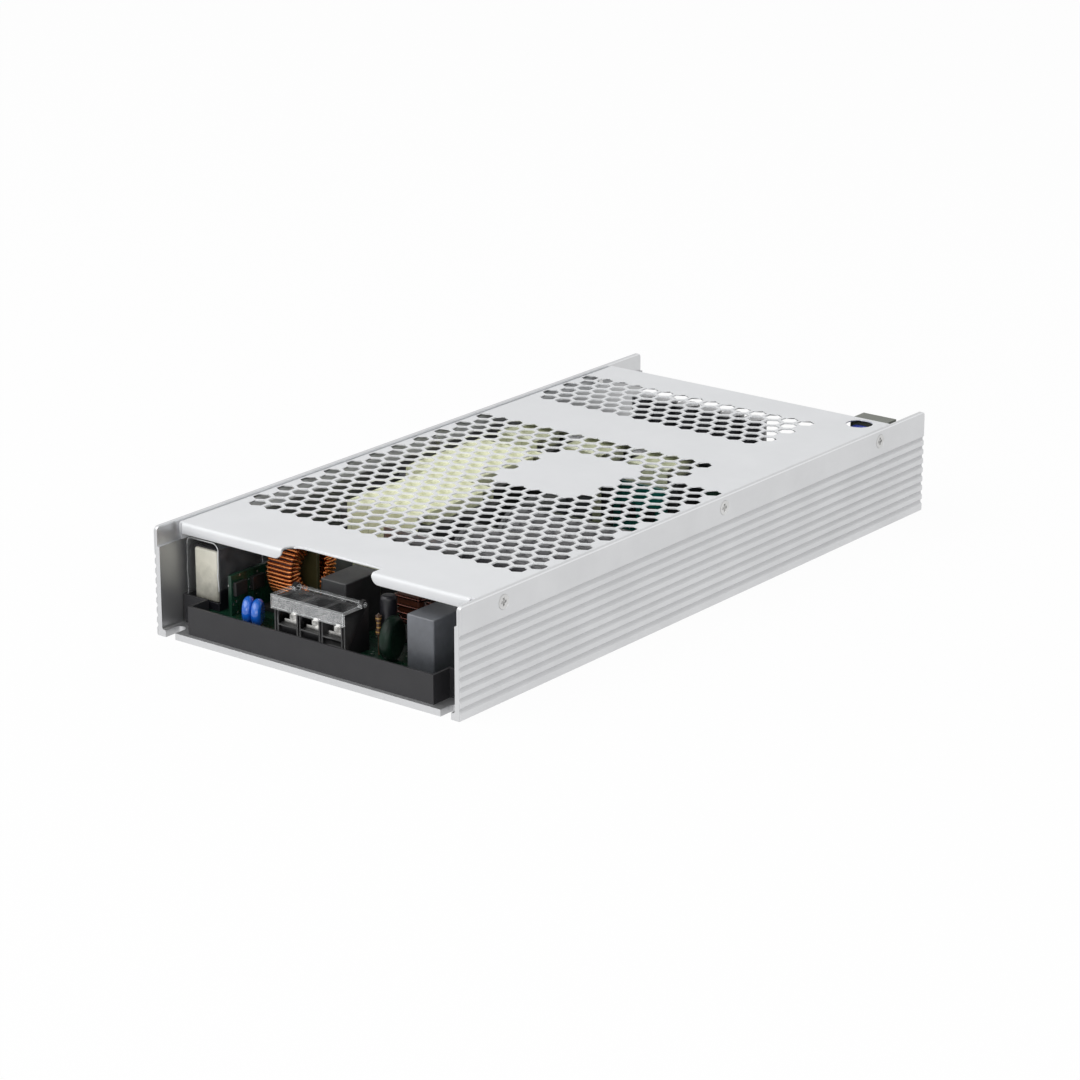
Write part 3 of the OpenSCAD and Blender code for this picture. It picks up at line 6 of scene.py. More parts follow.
import bmesh
import bpy
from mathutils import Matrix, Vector


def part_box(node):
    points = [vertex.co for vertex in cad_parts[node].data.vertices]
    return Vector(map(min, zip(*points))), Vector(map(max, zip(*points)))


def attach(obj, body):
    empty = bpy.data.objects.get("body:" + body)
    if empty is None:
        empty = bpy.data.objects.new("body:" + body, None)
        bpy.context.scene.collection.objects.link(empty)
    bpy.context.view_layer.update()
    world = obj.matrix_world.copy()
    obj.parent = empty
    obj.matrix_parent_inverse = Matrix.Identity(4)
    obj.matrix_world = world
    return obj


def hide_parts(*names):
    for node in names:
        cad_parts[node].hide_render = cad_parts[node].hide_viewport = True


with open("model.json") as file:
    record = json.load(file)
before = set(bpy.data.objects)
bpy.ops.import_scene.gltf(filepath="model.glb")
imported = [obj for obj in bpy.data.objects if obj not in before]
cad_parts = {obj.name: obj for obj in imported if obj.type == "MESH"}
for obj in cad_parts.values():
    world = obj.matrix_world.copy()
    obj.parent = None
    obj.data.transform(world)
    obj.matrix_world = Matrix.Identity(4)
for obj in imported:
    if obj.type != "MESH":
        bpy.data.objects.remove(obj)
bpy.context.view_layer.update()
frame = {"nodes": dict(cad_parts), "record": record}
cad = frame["nodes"]
slot_of = {part["node"]: part["material_slot"] for part in frame["record"]["subparts"]}
body_of = {
    node: body
    for body, members in frame["record"]["behaviour"]["bodies"].items()
    for node in members
}

MM = 0.001
scene = bpy.context.scene
scene.view_settings.view_transform = "Standard"

# Sizes that the looks share with the part's source

SHEET = 1.0 * MM
WALL = 2.5 * MM
GROOVE_DEPTH = 0.6 * MM
POLES = 3
BARRIER = 1.9 * MM

# Camera at the photograph's viewing angle

VIEW_AZIMUTH = math.radians(37.815)
VIEW_ELEVATION = math.radians(18.589)
VIEW_DISTANCE = 1352.7 * MM
VIEW_NEAR = 10.0 * MM
LENS_MILLIMETRES = 120.0
SENSOR_MILLIMETRES = 36.0
AIM_HEIGHT = 20.5 * MM
AIM_RIGHT = -6.96 * MM
AIM_UP = -8.28 * MM


def make_camera():
    """Sets the camera back from its aim, which is shifted right and up in the picture."""
    flat = math.cos(VIEW_ELEVATION)
    back = Vector((
        math.sin(VIEW_AZIMUTH) * flat,
        -math.cos(VIEW_AZIMUTH) * flat,
        math.sin(VIEW_ELEVATION),
    ))
    right = Vector((math.cos(VIEW_AZIMUTH), math.sin(VIEW_AZIMUTH), 0.0))
    up = back.cross(right)
    aim = Vector((0.0, 0.0, AIM_HEIGHT)) + right * AIM_RIGHT + up * AIM_UP
    data = bpy.data.cameras.new("photo_camera")
    data.lens = LENS_MILLIMETRES
    data.sensor_width = SENSOR_MILLIMETRES
    data.clip_start = VIEW_NEAR
    camera = bpy.data.objects.new("photo_camera", data)
    scene.collection.objects.link(camera)
    camera.location = aim + back * VIEW_DISTANCE
    camera.rotation_euler = back.to_track_quat("Z", "Y").to_euler()
    scene.camera = camera


make_camera()

# Shader building helpers

# Places of the colour sockets on a mix node
MIX_FACTOR = 0
MIX_FIRST = 6
MIX_SECOND = 7
MIX_RESULT = 2


def plug(tree, socket, value):
    """Links a socket to another, or sets its constant."""
    if isinstance(value, bpy.types.NodeSocket):
        tree.links.new(value, socket)
    else:
        socket.default_value = value


def put(tree, kind, settings=None, **inputs):
    """Adds a node; its inputs are named with underscores for spaces."""
    node = tree.nodes.new(kind)
    for name, value in (settings or {}).items():
        setattr(node, name, value)
    for name, value in inputs.items():
        plug(tree, node.inputs[name.replace("_", " ")], value)
    return node


def maths(tree, operation, first, second=0.0, clamp=False):
    """Works out a value from one or two others."""
    node = tree.nodes.new("ShaderNodeMath")
    node.operation = operation
    node.use_clamp = clamp
    plug(tree, node.inputs[0], first)
    plug(tree, node.inputs[1], second)
    return node.outputs[0]


def scaled(tree, vector, factors):
    """Stretches a vector along each axis."""
    node = tree.nodes.new("ShaderNodeVectorMath")
    node.operation = "MULTIPLY"
    plug(tree, node.inputs[0], vector)
    plug(tree, node.inputs[1], factors)
    return node.outputs[0]


def mixed(tree, factor, first, second):
    """Mixes two colours."""
    node = tree.nodes.new("ShaderNodeMix")
    node.data_type = "RGBA"
    plug(tree, node.inputs[MIX_FACTOR], factor)
    plug(tree, node.inputs[MIX_FIRST], first)
    plug(tree, node.inputs[MIX_SECOND], second)
    return node.outputs[MIX_RESULT]


def remap(tree, value, span, target):
    """Carries a value from one span to another, and holds it at the ends."""
    return put(
        tree, "ShaderNodeMapRange",
        Value=value, From_Min=span[0], From_Max=span[1], To_Min=target[0], To_Max=target[1],
    ).outputs[0]


def part_of(tree, vector, axis):
    """One of a vector's three parts."""
    return put(tree, "ShaderNodeSeparateXYZ", Vector=vector).outputs[axis]


def facing_of(tree, axis):
    """How far a face looks along an axis."""
    return part_of(tree, put(tree, "ShaderNodeNewGeometry").outputs["Normal"], axis)


def noise_of(tree, place, per_metre, detail, roughness=0.5):
    """Noise of a given fineness."""
    return put(
        tree, "ShaderNodeTexNoise", Vector=place, Scale=per_metre, Detail=detail, Roughness=roughness,
    ).outputs[0]


def edge_of(tree):
    """The mark that rounded and cut edges carry."""
    return put(tree, "ShaderNodeAttribute", {"attribute_name": EDGE_MARK}).outputs["Fac"]


def paint(red, green, blue):
    """A colour for a shader socket."""
    return (red, green, blue, 1.0)


def toned(colour, factor):
    """A colour made lighter or darker by a factor."""
    return paint(*(min(1.0, channel * factor) for channel in colour[:3]))


def paler(colour, share):
    """A colour taken a share of the way to white."""
    return paint(*(channel + (1.0 - channel) * share for channel in colour[:3]))


def new_group(name, inputs, outputs):
    """Starts a shader group; returns its tree and the sockets at its start and end."""
    tree = bpy.data.node_groups.new(name, "ShaderNodeTree")
    for label, kind in inputs.items():
        tree.interface.new_socket(name=label, in_out="INPUT", socket_type="NodeSocket" + kind)
    for label, kind in outputs.items():
        tree.interface.new_socket(name=label, in_out="OUTPUT", socket_type="NodeSocket" + kind)
    start = tree.nodes.new("NodeGroupInput")
    end = tree.nodes.new("NodeGroupOutput")
    return tree, start.outputs, end.inputs


def use_group(tree, group, **inputs):
    """Places a shader group in a tree; returns its outputs."""
    node = tree.nodes.new("ShaderNodeGroup")
    node.node_tree = group
    for name, value in inputs.items():
        plug(tree, node.inputs[name.replace("_", " ")], value)
    return node.outputs


# Shared surface effects

EDGE_MARK = "edge"
RISE = (0.0, 1.0)
FALL = (1.0, 0.0)

# Spans of noise that are spread out, and the strengths that some are spread to
NOISE_SPAN = (0.3, 0.7)
MOTTLE_SPAN = (0.35, 0.65)
RUB_SPAN = (0.25, 0.6)
RUB_STRENGTH = (0.35, 1.0)
DUST_SPAN = (0.35, 0.7)
DUST_STRENGTH = (0.2, 1.0)

# Spans of a normal's part over which a face turns upward, upright or sideways
UPWARD_SPAN = (0.5, 0.95)
UPRIGHT_SPAN = (0.3, 0.7)
SIDEWAYS_SPAN = (0.6, 0.8)

STREAK_STRETCH = (1.0, 0.012, 1.0)
# How far the edge of the lower painted shade wanders
SHADE_WANDER = 2.0 * MM
FACE_SLACK = 0.1 * MM


def make_fine_grain():
    """Even grain of a given size: a value between two limits, and a height for bump."""
    tree, start, end = new_group(
        "fine_grain",
        {"Place": "Vector", "Per metre": "Float", "Low": "Float", "High": "Float"},
        {"Value": "Float", "Height": "Float"},
    )
    noise = noise_of(tree, start["Place"], start["Per metre"], detail=3.0)
    plug(tree, end["Value"], remap(tree, noise, NOISE_SPAN, (start["Low"], start["High"])))
    plug(tree, end["Height"], noise)
    return tree


def make_mottle():
    """Slow change between two close colours."""
    tree, start, end = new_group(
        "mottle",
        {"Place": "Vector", "Per metre": "Float", "Pale": "Color", "Deep": "Color"},
        {"Color": "Color"},
    )
    noise = noise_of(tree, start["Place"], start["Per metre"], detail=5.0, roughness=0.6)
    share = remap(tree, noise, MOTTLE_SPAN, RISE)
    plug(tree, end["Color"], mixed(tree, share, start["Deep"], start["Pale"]))
    return tree


def make_drawn_streaks():
    """Fine lines along the length, as extruding and rolling leave them."""
    tree, start, end = new_group(
        "drawn_streaks",
        {"Place": "Vector", "Per metre": "Float"},
        {"Mask": "Float"},
    )
    stretched = scaled(tree, start["Place"], STREAK_STRETCH)
    noise = noise_of(tree, stretched, start["Per metre"], detail=4.0, roughness=0.65)
    plug(tree, end["Mask"], remap(tree, noise, NOISE_SPAN, RISE))
    return tree


def make_edge_rub():
    """Rubbed edges: the narrow faces that carry the edge mark, broken up by noise."""
    tree, start, end = new_group(
        "edge_rub",
        {"Place": "Vector", "Amount": "Float"},
        {"Mask": "Float"},
    )
    noise = noise_of(tree, start["Place"], per_metre=500.0, detail=4.0)
    broken = remap(tree, noise, RUB_SPAN, RUB_STRENGTH)
    strength = maths(tree, "MULTIPLY", edge_of(tree), broken)
    plug(tree, end["Mask"], maths(tree, "MULTIPLY", strength, start["Amount"], clamp=True))
    return tree


def make_settled_dust():
    """A thin uneven film on faces that look up."""
    tree, start, end = new_group(
        "settled_dust",
        {"Place": "Vector", "Amount": "Float"},
        {"Mask": "Float"},
    )
    upward = remap(tree, facing_of(tree, "Z"), UPWARD_SPAN, RISE)
    noise = noise_of(tree, start["Place"], per_metre=220.0, detail=6.0, roughness=0.7)
    patches = remap(tree, noise, DUST_SPAN, DUST_STRENGTH)
    film = maths(tree, "MULTIPLY", upward, patches)
    plug(tree, end["Mask"], maths(tree, "MULTIPLY", film, start["Amount"], clamp=True))
    return tree


def make_lower_painted_shade():
    """Uneven painted shade that grows from a high level down to a low one."""
    tree, start, end = new_group(
        "lower_painted_shade",
        {"Place": "Vector", "Low": "Float", "High": "Float", "Amount": "Float"},
        {"Mask": "Float"},
    )
    noise = noise_of(tree, start["Place"], per_metre=380.0, detail=4.0)
    wander = remap(tree, noise, NOISE_SPAN, (-SHADE_WANDER, SHADE_WANDER))
    level = maths(tree, "ADD", part_of(tree, start["Place"], "Z"), wander)
    share = remap(tree, level, (start["Low"], start["High"]), FALL)
    plug(tree, end["Mask"], maths(tree, "MULTIPLY", share, start["Amount"], clamp=True))
    return tree


def make_upright_faces():
    """Upright faces above a level, such as the walls of the holes in a top sheet, where a highlight is
    painted.
    """
    tree, start, end = new_group(
        "upright_faces",
        {"Place": "Vector", "Above": "Float"},
        {"Mask": "Float"},
    )
    lean = maths(tree, "ABSOLUTE", facing_of(tree, "Z"))
    upright = remap(tree, lean, UPRIGHT_SPAN, FALL)
    high = maths(tree, "GREATER_THAN", part_of(tree, start["Place"], "Z"), start["Above"])
    plug(tree, end["Mask"], maths(tree, "MULTIPLY", upright, high))
    return tree


def make_groove_shade():
    """Painted shade in the grooves of the two side walls."""
    tree, start, end = new_group(
        "groove_shade",
        {"Place": "Vector", "Outer": "Float", "Depth": "Float", "Amount": "Float"},
        {"Mask": "Float"},
    )
    across = maths(tree, "ABSOLUTE", part_of(tree, start["Place"], "X"))
    sunk = maths(tree, "SUBTRACT", start["Outer"], across)
    share = remap(tree, sunk, (FACE_SLACK, start["Depth"]), RISE)
    deepest = maths(tree, "ADD", start["Depth"], FACE_SLACK)
    film = maths(tree, "MULTIPLY", share, maths(tree, "LESS_THAN", sunk, deepest))
    plug(tree, end["Mask"], maths(tree, "MULTIPLY", film, start["Amount"]))
    return tree


def make_inner_painted_shade():
    """Painted shade on the inner faces of the side walls."""
    tree, start, end = new_group(
        "inner_painted_shade",
        {"Place": "Vector", "Inner": "Float", "Amount": "Float"},
        {"Mask": "Float"},
    )
    across = maths(tree, "ABSOLUTE", part_of(tree, start["Place"], "X"))
    inside = maths(tree, "LESS_THAN", across, start["Inner"])
    sideways = maths(tree, "ABSOLUTE", facing_of(tree, "X"))
    inner_shade = maths(tree, "MULTIPLY", inside, remap(tree, sideways, SIDEWAYS_SPAN, RISE))
    plug(tree, end["Mask"], maths(tree, "MULTIPLY", inner_shade, start["Amount"]))
    return tree


fine_grain = make_fine_grain()
lower_painted_shade = make_lower_painted_shade()
upright_faces = make_upright_faces()
groove_shade = make_groove_shade()
inner_painted_shade = make_inner_painted_shade()
mottle = make_mottle()
drawn_streaks = make_drawn_streaks()
edge_rub = make_edge_rub()
settled_dust = make_settled_dust()

# Kinds of finish

METAL_RUB = 0.35
# Tone of rubbed metal edges and of the painted highlight on upright faces near the top
WEAR_AND_HIGHLIGHT_TONE = 1.18
# Strength and tone of the painted shade in the side walls' grooves
GROOVE_SHADE_AMOUNT = 0.6
GROOVE_SHADE_TONE = 0.86
GROOVE_ROUGHNESS = 0.5
# Strength and tone of the painted shade on the side walls' inner faces
INNER_SHADE_AMOUNT = 0.65
INNER_SHADE_TONE = 0.55
STREAK_DEPTH = 0.012 * MM
METAL_GRAIN_DEPTH = 0.008 * MM

RUBBED_PALER = 0.18
# Tone of the painted shade toward the bottom
LOWER_SHADE_TONE = 0.22
DUST = paint(0.42, 0.41, 0.39)

CLEAR_SPAN = (0.5, 0.7)
# Strength of the cover's patchy haze, which also serves as painted glints
CLEAR_HAZE_AND_GLINT = (0.02, 0.12)
FILM_HAZE = (0.01, 0.07)
FILM_ROUGHNESS = (0.12, 0.3)

TRACK_ABOVE = 0.55
TRACK_STRENGTH = 0.55
TRACK_RAISED = 0.4
PAD_RADIUS = 0.16
SOLDER = paint(0.62, 0.62, 0.6)
SOLDER_METAL = 0.9

SEAM_ABOVE = 0.93
SEAM_STRENGTH = 0.6
SEAM_TONE = 0.72
LAP_RAISED = 0.6

# The resistor's rings, as shares of its height
RINGS = 4
RING_FIRST = 0.55
RING_PITCH = 0.11
RING_WIDTH = 0.03
RING_PAINT = paint(0.4, 0.24, 0.07)


def new_finish(name):
    """A material with its tree, its shader and its object coordinates."""
    material = bpy.data.materials.new(name)
    material.use_nodes = True
    tree = material.node_tree
    shader = tree.nodes["Principled BSDF"]
    place = put(tree, "ShaderNodeTexCoord").outputs["Object"]
    return material, tree, shader, place


def add_bump(tree, shader, height, depth, strength):
    """Gives a shader a relief of a given depth."""
    bump = put(tree, "ShaderNodeBump", Height=height, Distance=depth, Strength=strength)
    plug(tree, shader.inputs["Normal"], bump.outputs[0])


def add_grain(tree, shader, place, per_metre, smooth, rough):
    """Gives a shader's roughness an even grain; returns the grain's value and height."""
    grain = use_group(tree, fine_grain, Place=place, Per_metre=per_metre, Low=smooth, High=rough)
    plug(tree, shader.inputs["Roughness"], grain["Value"])
    return grain


def add_coat(shader, weight, rough):
    """Gives a shader a clear coat."""
    shader.inputs["Coat Weight"].default_value = weight
    shader.inputs["Coat Roughness"].default_value = rough


def metal_finish(
    name, pale, deep, smooth, rough,
    streaked=True, metallic=1.0, patch=45.0, highlight_above=None, grooved=None, shine=0.5,
):
    """Bare or anodised metal with drawn streaks or an even grain.

    Upright faces above a given height carry a painted highlight, as on hole walls and wall rims. The three
    values of grooved are the side walls' outer face, their grooves' depth and their inner face: the
    grooves carry painted shade and more roughness, and the inner faces carry painted shade.
    """
    material, tree, shader, place = new_finish(name)
    colour = use_group(tree, mottle, Place=place, Per_metre=patch, Pale=pale, Deep=deep)["Color"]
    wear_and_highlight = use_group(tree, edge_rub, Place=place, Amount=METAL_RUB)["Mask"]
    # Painted highlight on upright faces near the top, on hole walls and wall rims
    if highlight_above:
        rim_highlight = use_group(tree, upright_faces, Place=place, Above=highlight_above)["Mask"]
        wear_and_highlight = maths(tree, "MAXIMUM", wear_and_highlight, rim_highlight)
    colour = mixed(tree, wear_and_highlight, colour, toned(pale, WEAR_AND_HIGHLIGHT_TONE))
    if streaked:
        lines = use_group(tree, drawn_streaks, Place=place, Per_metre=4500.0)["Mask"]
        line_depth = STREAK_DEPTH
    else:
        lines = use_group(tree, fine_grain, Place=place, Per_metre=6000.0, Low=0.0, High=1.0)["Value"]
        line_depth = METAL_GRAIN_DEPTH
    gloss = remap(tree, lines, RISE, (smooth, rough))
    if grooved:
        outer, groove, inner = grooved
        # Painted shade darkens the grooves, which are also made rougher
        film = use_group(
            tree, groove_shade, Place=place, Outer=outer, Depth=groove, Amount=GROOVE_SHADE_AMOUNT)["Mask"]
        colour = mixed(tree, film, colour, toned(deep, GROOVE_SHADE_TONE))
        # Painted shade darkens the side walls' inner faces
        inside = use_group(tree, inner_painted_shade, Place=place, Inner=inner, Amount=INNER_SHADE_AMOUNT)["Mask"]
        colour = mixed(tree, inside, colour, toned(deep, INNER_SHADE_TONE))
        dulled = maths(tree, "MULTIPLY", film, GROOVE_ROUGHNESS)
        gloss = maths(tree, "ADD", gloss, dulled, clamp=True)
    plug(tree, shader.inputs["Base Color"], colour)
    plug(tree, shader.inputs["Roughness"], gloss)
    add_bump(tree, shader, lines, line_depth, strength=0.6)
    shader.inputs["Metallic"].default_value = metallic
    shader.inputs["Specular IOR Level"].default_value = shine
    return material


def plastic_finish(
    name, pale, deep, smooth, rough,
    grain=5000.0, depth=0.02, dust=0.1, coat=0.0, rub=0.25, foot=None, shine=0.5,
):
    """Moulded or cast plastic with a fine texture, paler along its edges and with a little dust.

    The depth of its texture is in millimetres. The three values of foot are the levels between which
    painted shade darkens it downward, and how much.
    """
    material, tree, shader, place = new_finish(name)
    colour = use_group(tree, mottle, Place=place, Per_metre=90.0, Pale=pale, Deep=deep)["Color"]
    wear_and_highlight = use_group(tree, edge_rub, Place=place, Amount=rub)["Mask"]
    colour = mixed(tree, wear_and_highlight, colour, paler(pale, RUBBED_PALER))
    # Painted shade toward the bottom
    if foot:
        low, high, amount = foot
        lower_shade = use_group(tree, lower_painted_shade, Place=place, Low=low, High=high, Amount=amount)["Mask"]
        colour = mixed(tree, lower_shade, colour, toned(deep, LOWER_SHADE_TONE))
    film = use_group(tree, settled_dust, Place=place, Amount=dust)["Mask"]
    plug(tree, shader.inputs["Base Color"], mixed(tree, film, colour, DUST))
    texture = add_grain(tree, shader, place, grain, smooth, rough)
    add_bump(tree, shader, texture["Height"], depth * MM, strength=0.5)
    add_coat(shader, coat, rough=0.12)
    shader.inputs["Specular IOR Level"].default_value = shine
    return material


def copper_enamel_finish(name, pale, deep):
    """Varnished copper wire, darker where the varnish gathers."""
    material, tree, shader, place = new_finish(name)
    colour = use_group(tree, mottle, Place=place, Per_metre=420.0, Pale=pale, Deep=deep)["Color"]
    plug(tree, shader.inputs["Base Color"], colour)
    grain = add_grain(tree, shader, place, 2500.0, smooth=0.2, rough=0.34)
    add_bump(tree, shader, grain["Height"], 0.01 * MM, strength=0.4)
    add_coat(shader, 0.6, rough=0.1)
    shader.inputs["Coat Tint"].default_value = paint(1.0, 0.82, 0.66)
    shader.inputs["Metallic"].default_value = 1.0
    return material


def clear_finish(name, tint, smooth, rough, ripple):
    """Clear moulded plastic: see-through on its flat top, hazy on its sides, with patches of painted glint
    and a painted white highlight along its edges.
    """
    material, tree, shader, place = new_finish(name)
    shader.inputs["Base Color"].default_value = tint
    shader.inputs["IOR"].default_value = 1.49
    shader.inputs["Transmission Weight"].default_value = 0.4
    waves = noise_of(tree, place, ripple, detail=3.0)
    # Patches of haze with painted glints, and a painted white highlight on the marked edges
    haze = remap(tree, waves, CLEAR_SPAN, CLEAR_HAZE_AND_GLINT)
    plug(tree, shader.inputs["Alpha"], maths(tree, "ADD", haze, edge_of(tree), clamp=True))
    add_grain(tree, shader, place, 900.0, smooth, rough)
    add_bump(tree, shader, waves, 0.06 * MM, strength=0.35)
    return material


def film_finish(name, tint):
    """Thin clear film, nearly invisible on its faces, with a painted white highlight along its cut edges.
    """
    material, tree, shader, place = new_finish(name)
    shader.inputs["Base Color"].default_value = tint
    low, high = FILM_HAZE
    haze = use_group(tree, fine_grain, Place=place, Per_metre=240.0, Low=low, High=high)
    plug(tree, shader.inputs["Alpha"], maths(tree, "ADD", haze["Value"], edge_of(tree), clamp=True))
    plug(tree, shader.inputs["Roughness"], remap(tree, haze["Value"], FILM_HAZE, FILM_ROUGHNESS))
    add_bump(tree, shader, haze["Height"], 0.3 * MM, strength=0.4)
    return material


def board_finish(name, pale, deep, track):
    """Lacquered circuit board: tracks under the lacquer and tinned pads."""
    material, tree, shader, place = new_finish(name)
    lacquer = use_group(tree, mottle, Place=place, Per_metre=120.0, Pale=pale, Deep=deep)["Color"]
    lanes = put(
        tree, "ShaderNodeTexBrick", {"offset": 0.37, "squash": 1.4, "squash_frequency": 3},
        Vector=place, Scale=260.0, Mortar_Size=0.05, Mortar_Smooth=0.2, Brick_Width=1.7, Row_Height=0.42,
        Color1=paint(1, 1, 1), Color2=paint(0.2, 0.2, 0.2), Mortar=paint(0, 0, 0),
    )
    tracks = maths(tree, "GREATER_THAN", lanes.outputs["Color"], TRACK_ABOVE)
    colour = mixed(tree, maths(tree, "MULTIPLY", tracks, TRACK_STRENGTH), lacquer, track)
    pads = put(tree, "ShaderNodeTexVoronoi", Vector=place, Scale=330.0, Randomness=0.85)
    solder = maths(tree, "LESS_THAN", pads.outputs["Distance"], PAD_RADIUS)
    plug(tree, shader.inputs["Base Color"], mixed(tree, solder, colour, SOLDER))
    plug(tree, shader.inputs["Metallic"], maths(tree, "MULTIPLY", solder, SOLDER_METAL))
    add_grain(tree, shader, place, 1800.0, smooth=0.24, rough=0.4)
    raised = maths(tree, "ADD", maths(tree, "MULTIPLY", tracks, TRACK_RAISED), solder)
    add_bump(tree, shader, raised, 0.06 * MM, strength=0.5)
    return material


def tape_finish(name, pale, deep):
    """Polyester tape: overlapped turns with a soft sheen."""
    material, tree, shader, place = new_finish(name)
    colour = use_group(tree, mottle, Place=place, Per_metre=150.0, Pale=pale, Deep=deep)["Color"]
    laps = put(
        tree, "ShaderNodeTexWave", {"wave_type": "BANDS", "bands_direction": "X", "wave_profile": "SAW"},
        Vector=place, Scale=40.0, Distortion=0.6, Detail=1.0, Detail_Scale=6.0,
    ).outputs["Fac"]
    seam = maths(tree, "MULTIPLY", maths(tree, "GREATER_THAN", laps, SEAM_ABOVE), SEAM_STRENGTH)
    plug(tree, shader.inputs["Base Color"], mixed(tree, seam, colour, toned(deep, SEAM_TONE)))
    grain = add_grain(tree, shader, place, 1400.0, smooth=0.22, rough=0.38)
    creases = maths(tree, "ADD", maths(tree, "MULTIPLY", laps, LAP_RAISED), grain["Height"])
    add_bump(tree, shader, creases, 0.08 * MM, strength=0.5)
    add_coat(shader, 0.25, rough=0.15)
    return material


def ringed_resistor_finish(name, pale, deep):
    """Lacquered resistor body with plain colour rings up its length."""
    material, tree, shader, place = new_finish(name)
    body = use_group(tree, mottle, Place=place, Per_metre=700.0, Pale=pale, Deep=deep)["Color"]
    low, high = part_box("bleed_resistor")
    share = remap(tree, part_of(tree, place, "Z"), (low.z, high.z), RISE)
    rings = put(tree, "ShaderNodeValToRGB", Fac=share)
    ramp = rings.color_ramp
    ramp.interpolation = "CONSTANT"
    ramp.elements[1].color = paint(0, 0, 0)
    for ring in range(RINGS):
        bottom = RING_FIRST + ring * RING_PITCH
        ramp.elements.new(bottom).color = paint(1, 1, 1)
        ramp.elements.new(bottom + RING_WIDTH).color = paint(0, 0, 0)
    plug(tree, shader.inputs["Base Color"], mixed(tree, rings.outputs["Color"], body, RING_PAINT))
    add_grain(tree, shader, place, 3000.0, smooth=0.18, rough=0.32)
    return material


# A finish for each material slot of the record

EASED = 0.5 * MM
HOLE_ROOM = 0.05 * MM
WALL_RIM = 0.55 * MM
# Top band of the cream capacitor left out of the painted shade
CREAM_UNSHADED_TOP = 6.0 * MM


def metal_finishes():
    """Extruded, folded, turned and tinned metal, and the wire."""
    chassis_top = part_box("chassis")[1]
    # Heights above which the chassis rims and the cover's hole walls get a painted highlight
    hole_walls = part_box("top_cover")[1].z - SHEET + EASED - HOLE_ROOM
    return {
        "chassis_aluminium": metal_finish(
            "extruded_aluminium", paint(0.68, 0.685, 0.695), paint(0.64, 0.645, 0.655),
            smooth=0.34, rough=0.44, metallic=0.85, highlight_above=chassis_top.z - WALL_RIM,
            grooved=(chassis_top.x, GROOVE_DEPTH, chassis_top.x - WALL + FACE_SLACK)),
        "cover_aluminium": metal_finish(
            "cover_aluminium", paint(0.78, 0.79, 0.805), paint(0.755, 0.765, 0.78),
            smooth=0.5, rough=0.62, streaked=False, metallic=0.2, highlight_above=hole_walls, shine=0.2),
        "heatsink_aluminium": metal_finish(
            "heatsink_aluminium", paint(0.58, 0.58, 0.59), paint(0.5, 0.5, 0.51),
            smooth=0.3, rough=0.45),
        "can_aluminium": metal_finish(
            "can_aluminium", paint(0.7, 0.7, 0.71), paint(0.62, 0.62, 0.63),
            smooth=0.2, rough=0.34, streaked=False),
        "screw_steel": metal_finish(
            "screw_steel", paint(0.7, 0.7, 0.695), paint(0.58, 0.58, 0.575),
            smooth=0.24, rough=0.4, streaked=False),
        # Tinned terminals: the strong, fine mottle toward a dark tone is painted reflection and shade
        "terminal_tin": metal_finish(
            "terminal_tin", paint(0.64, 0.635, 0.62), paint(0.24, 0.235, 0.225),
            smooth=0.08, rough=0.2, streaked=False, patch=420.0),
        "standoff_brass": metal_finish(
            "standoff_brass", paint(0.66, 0.46, 0.16), paint(0.55, 0.37, 0.12),
            smooth=0.24, rough=0.4, streaked=False),
        "copper_wire": copper_enamel_finish(
            "copper_enamel", paint(0.95, 0.4, 0.14), paint(0.72, 0.23, 0.06)),
        # The second choke's wire: red-brown enamelled copper, made far darker with painted shade
        "copper_red": copper_enamel_finish(
            "copper_red_painted_shade", paint(0.12, 0.034, 0.022), paint(0.06, 0.016, 0.01)),
    }


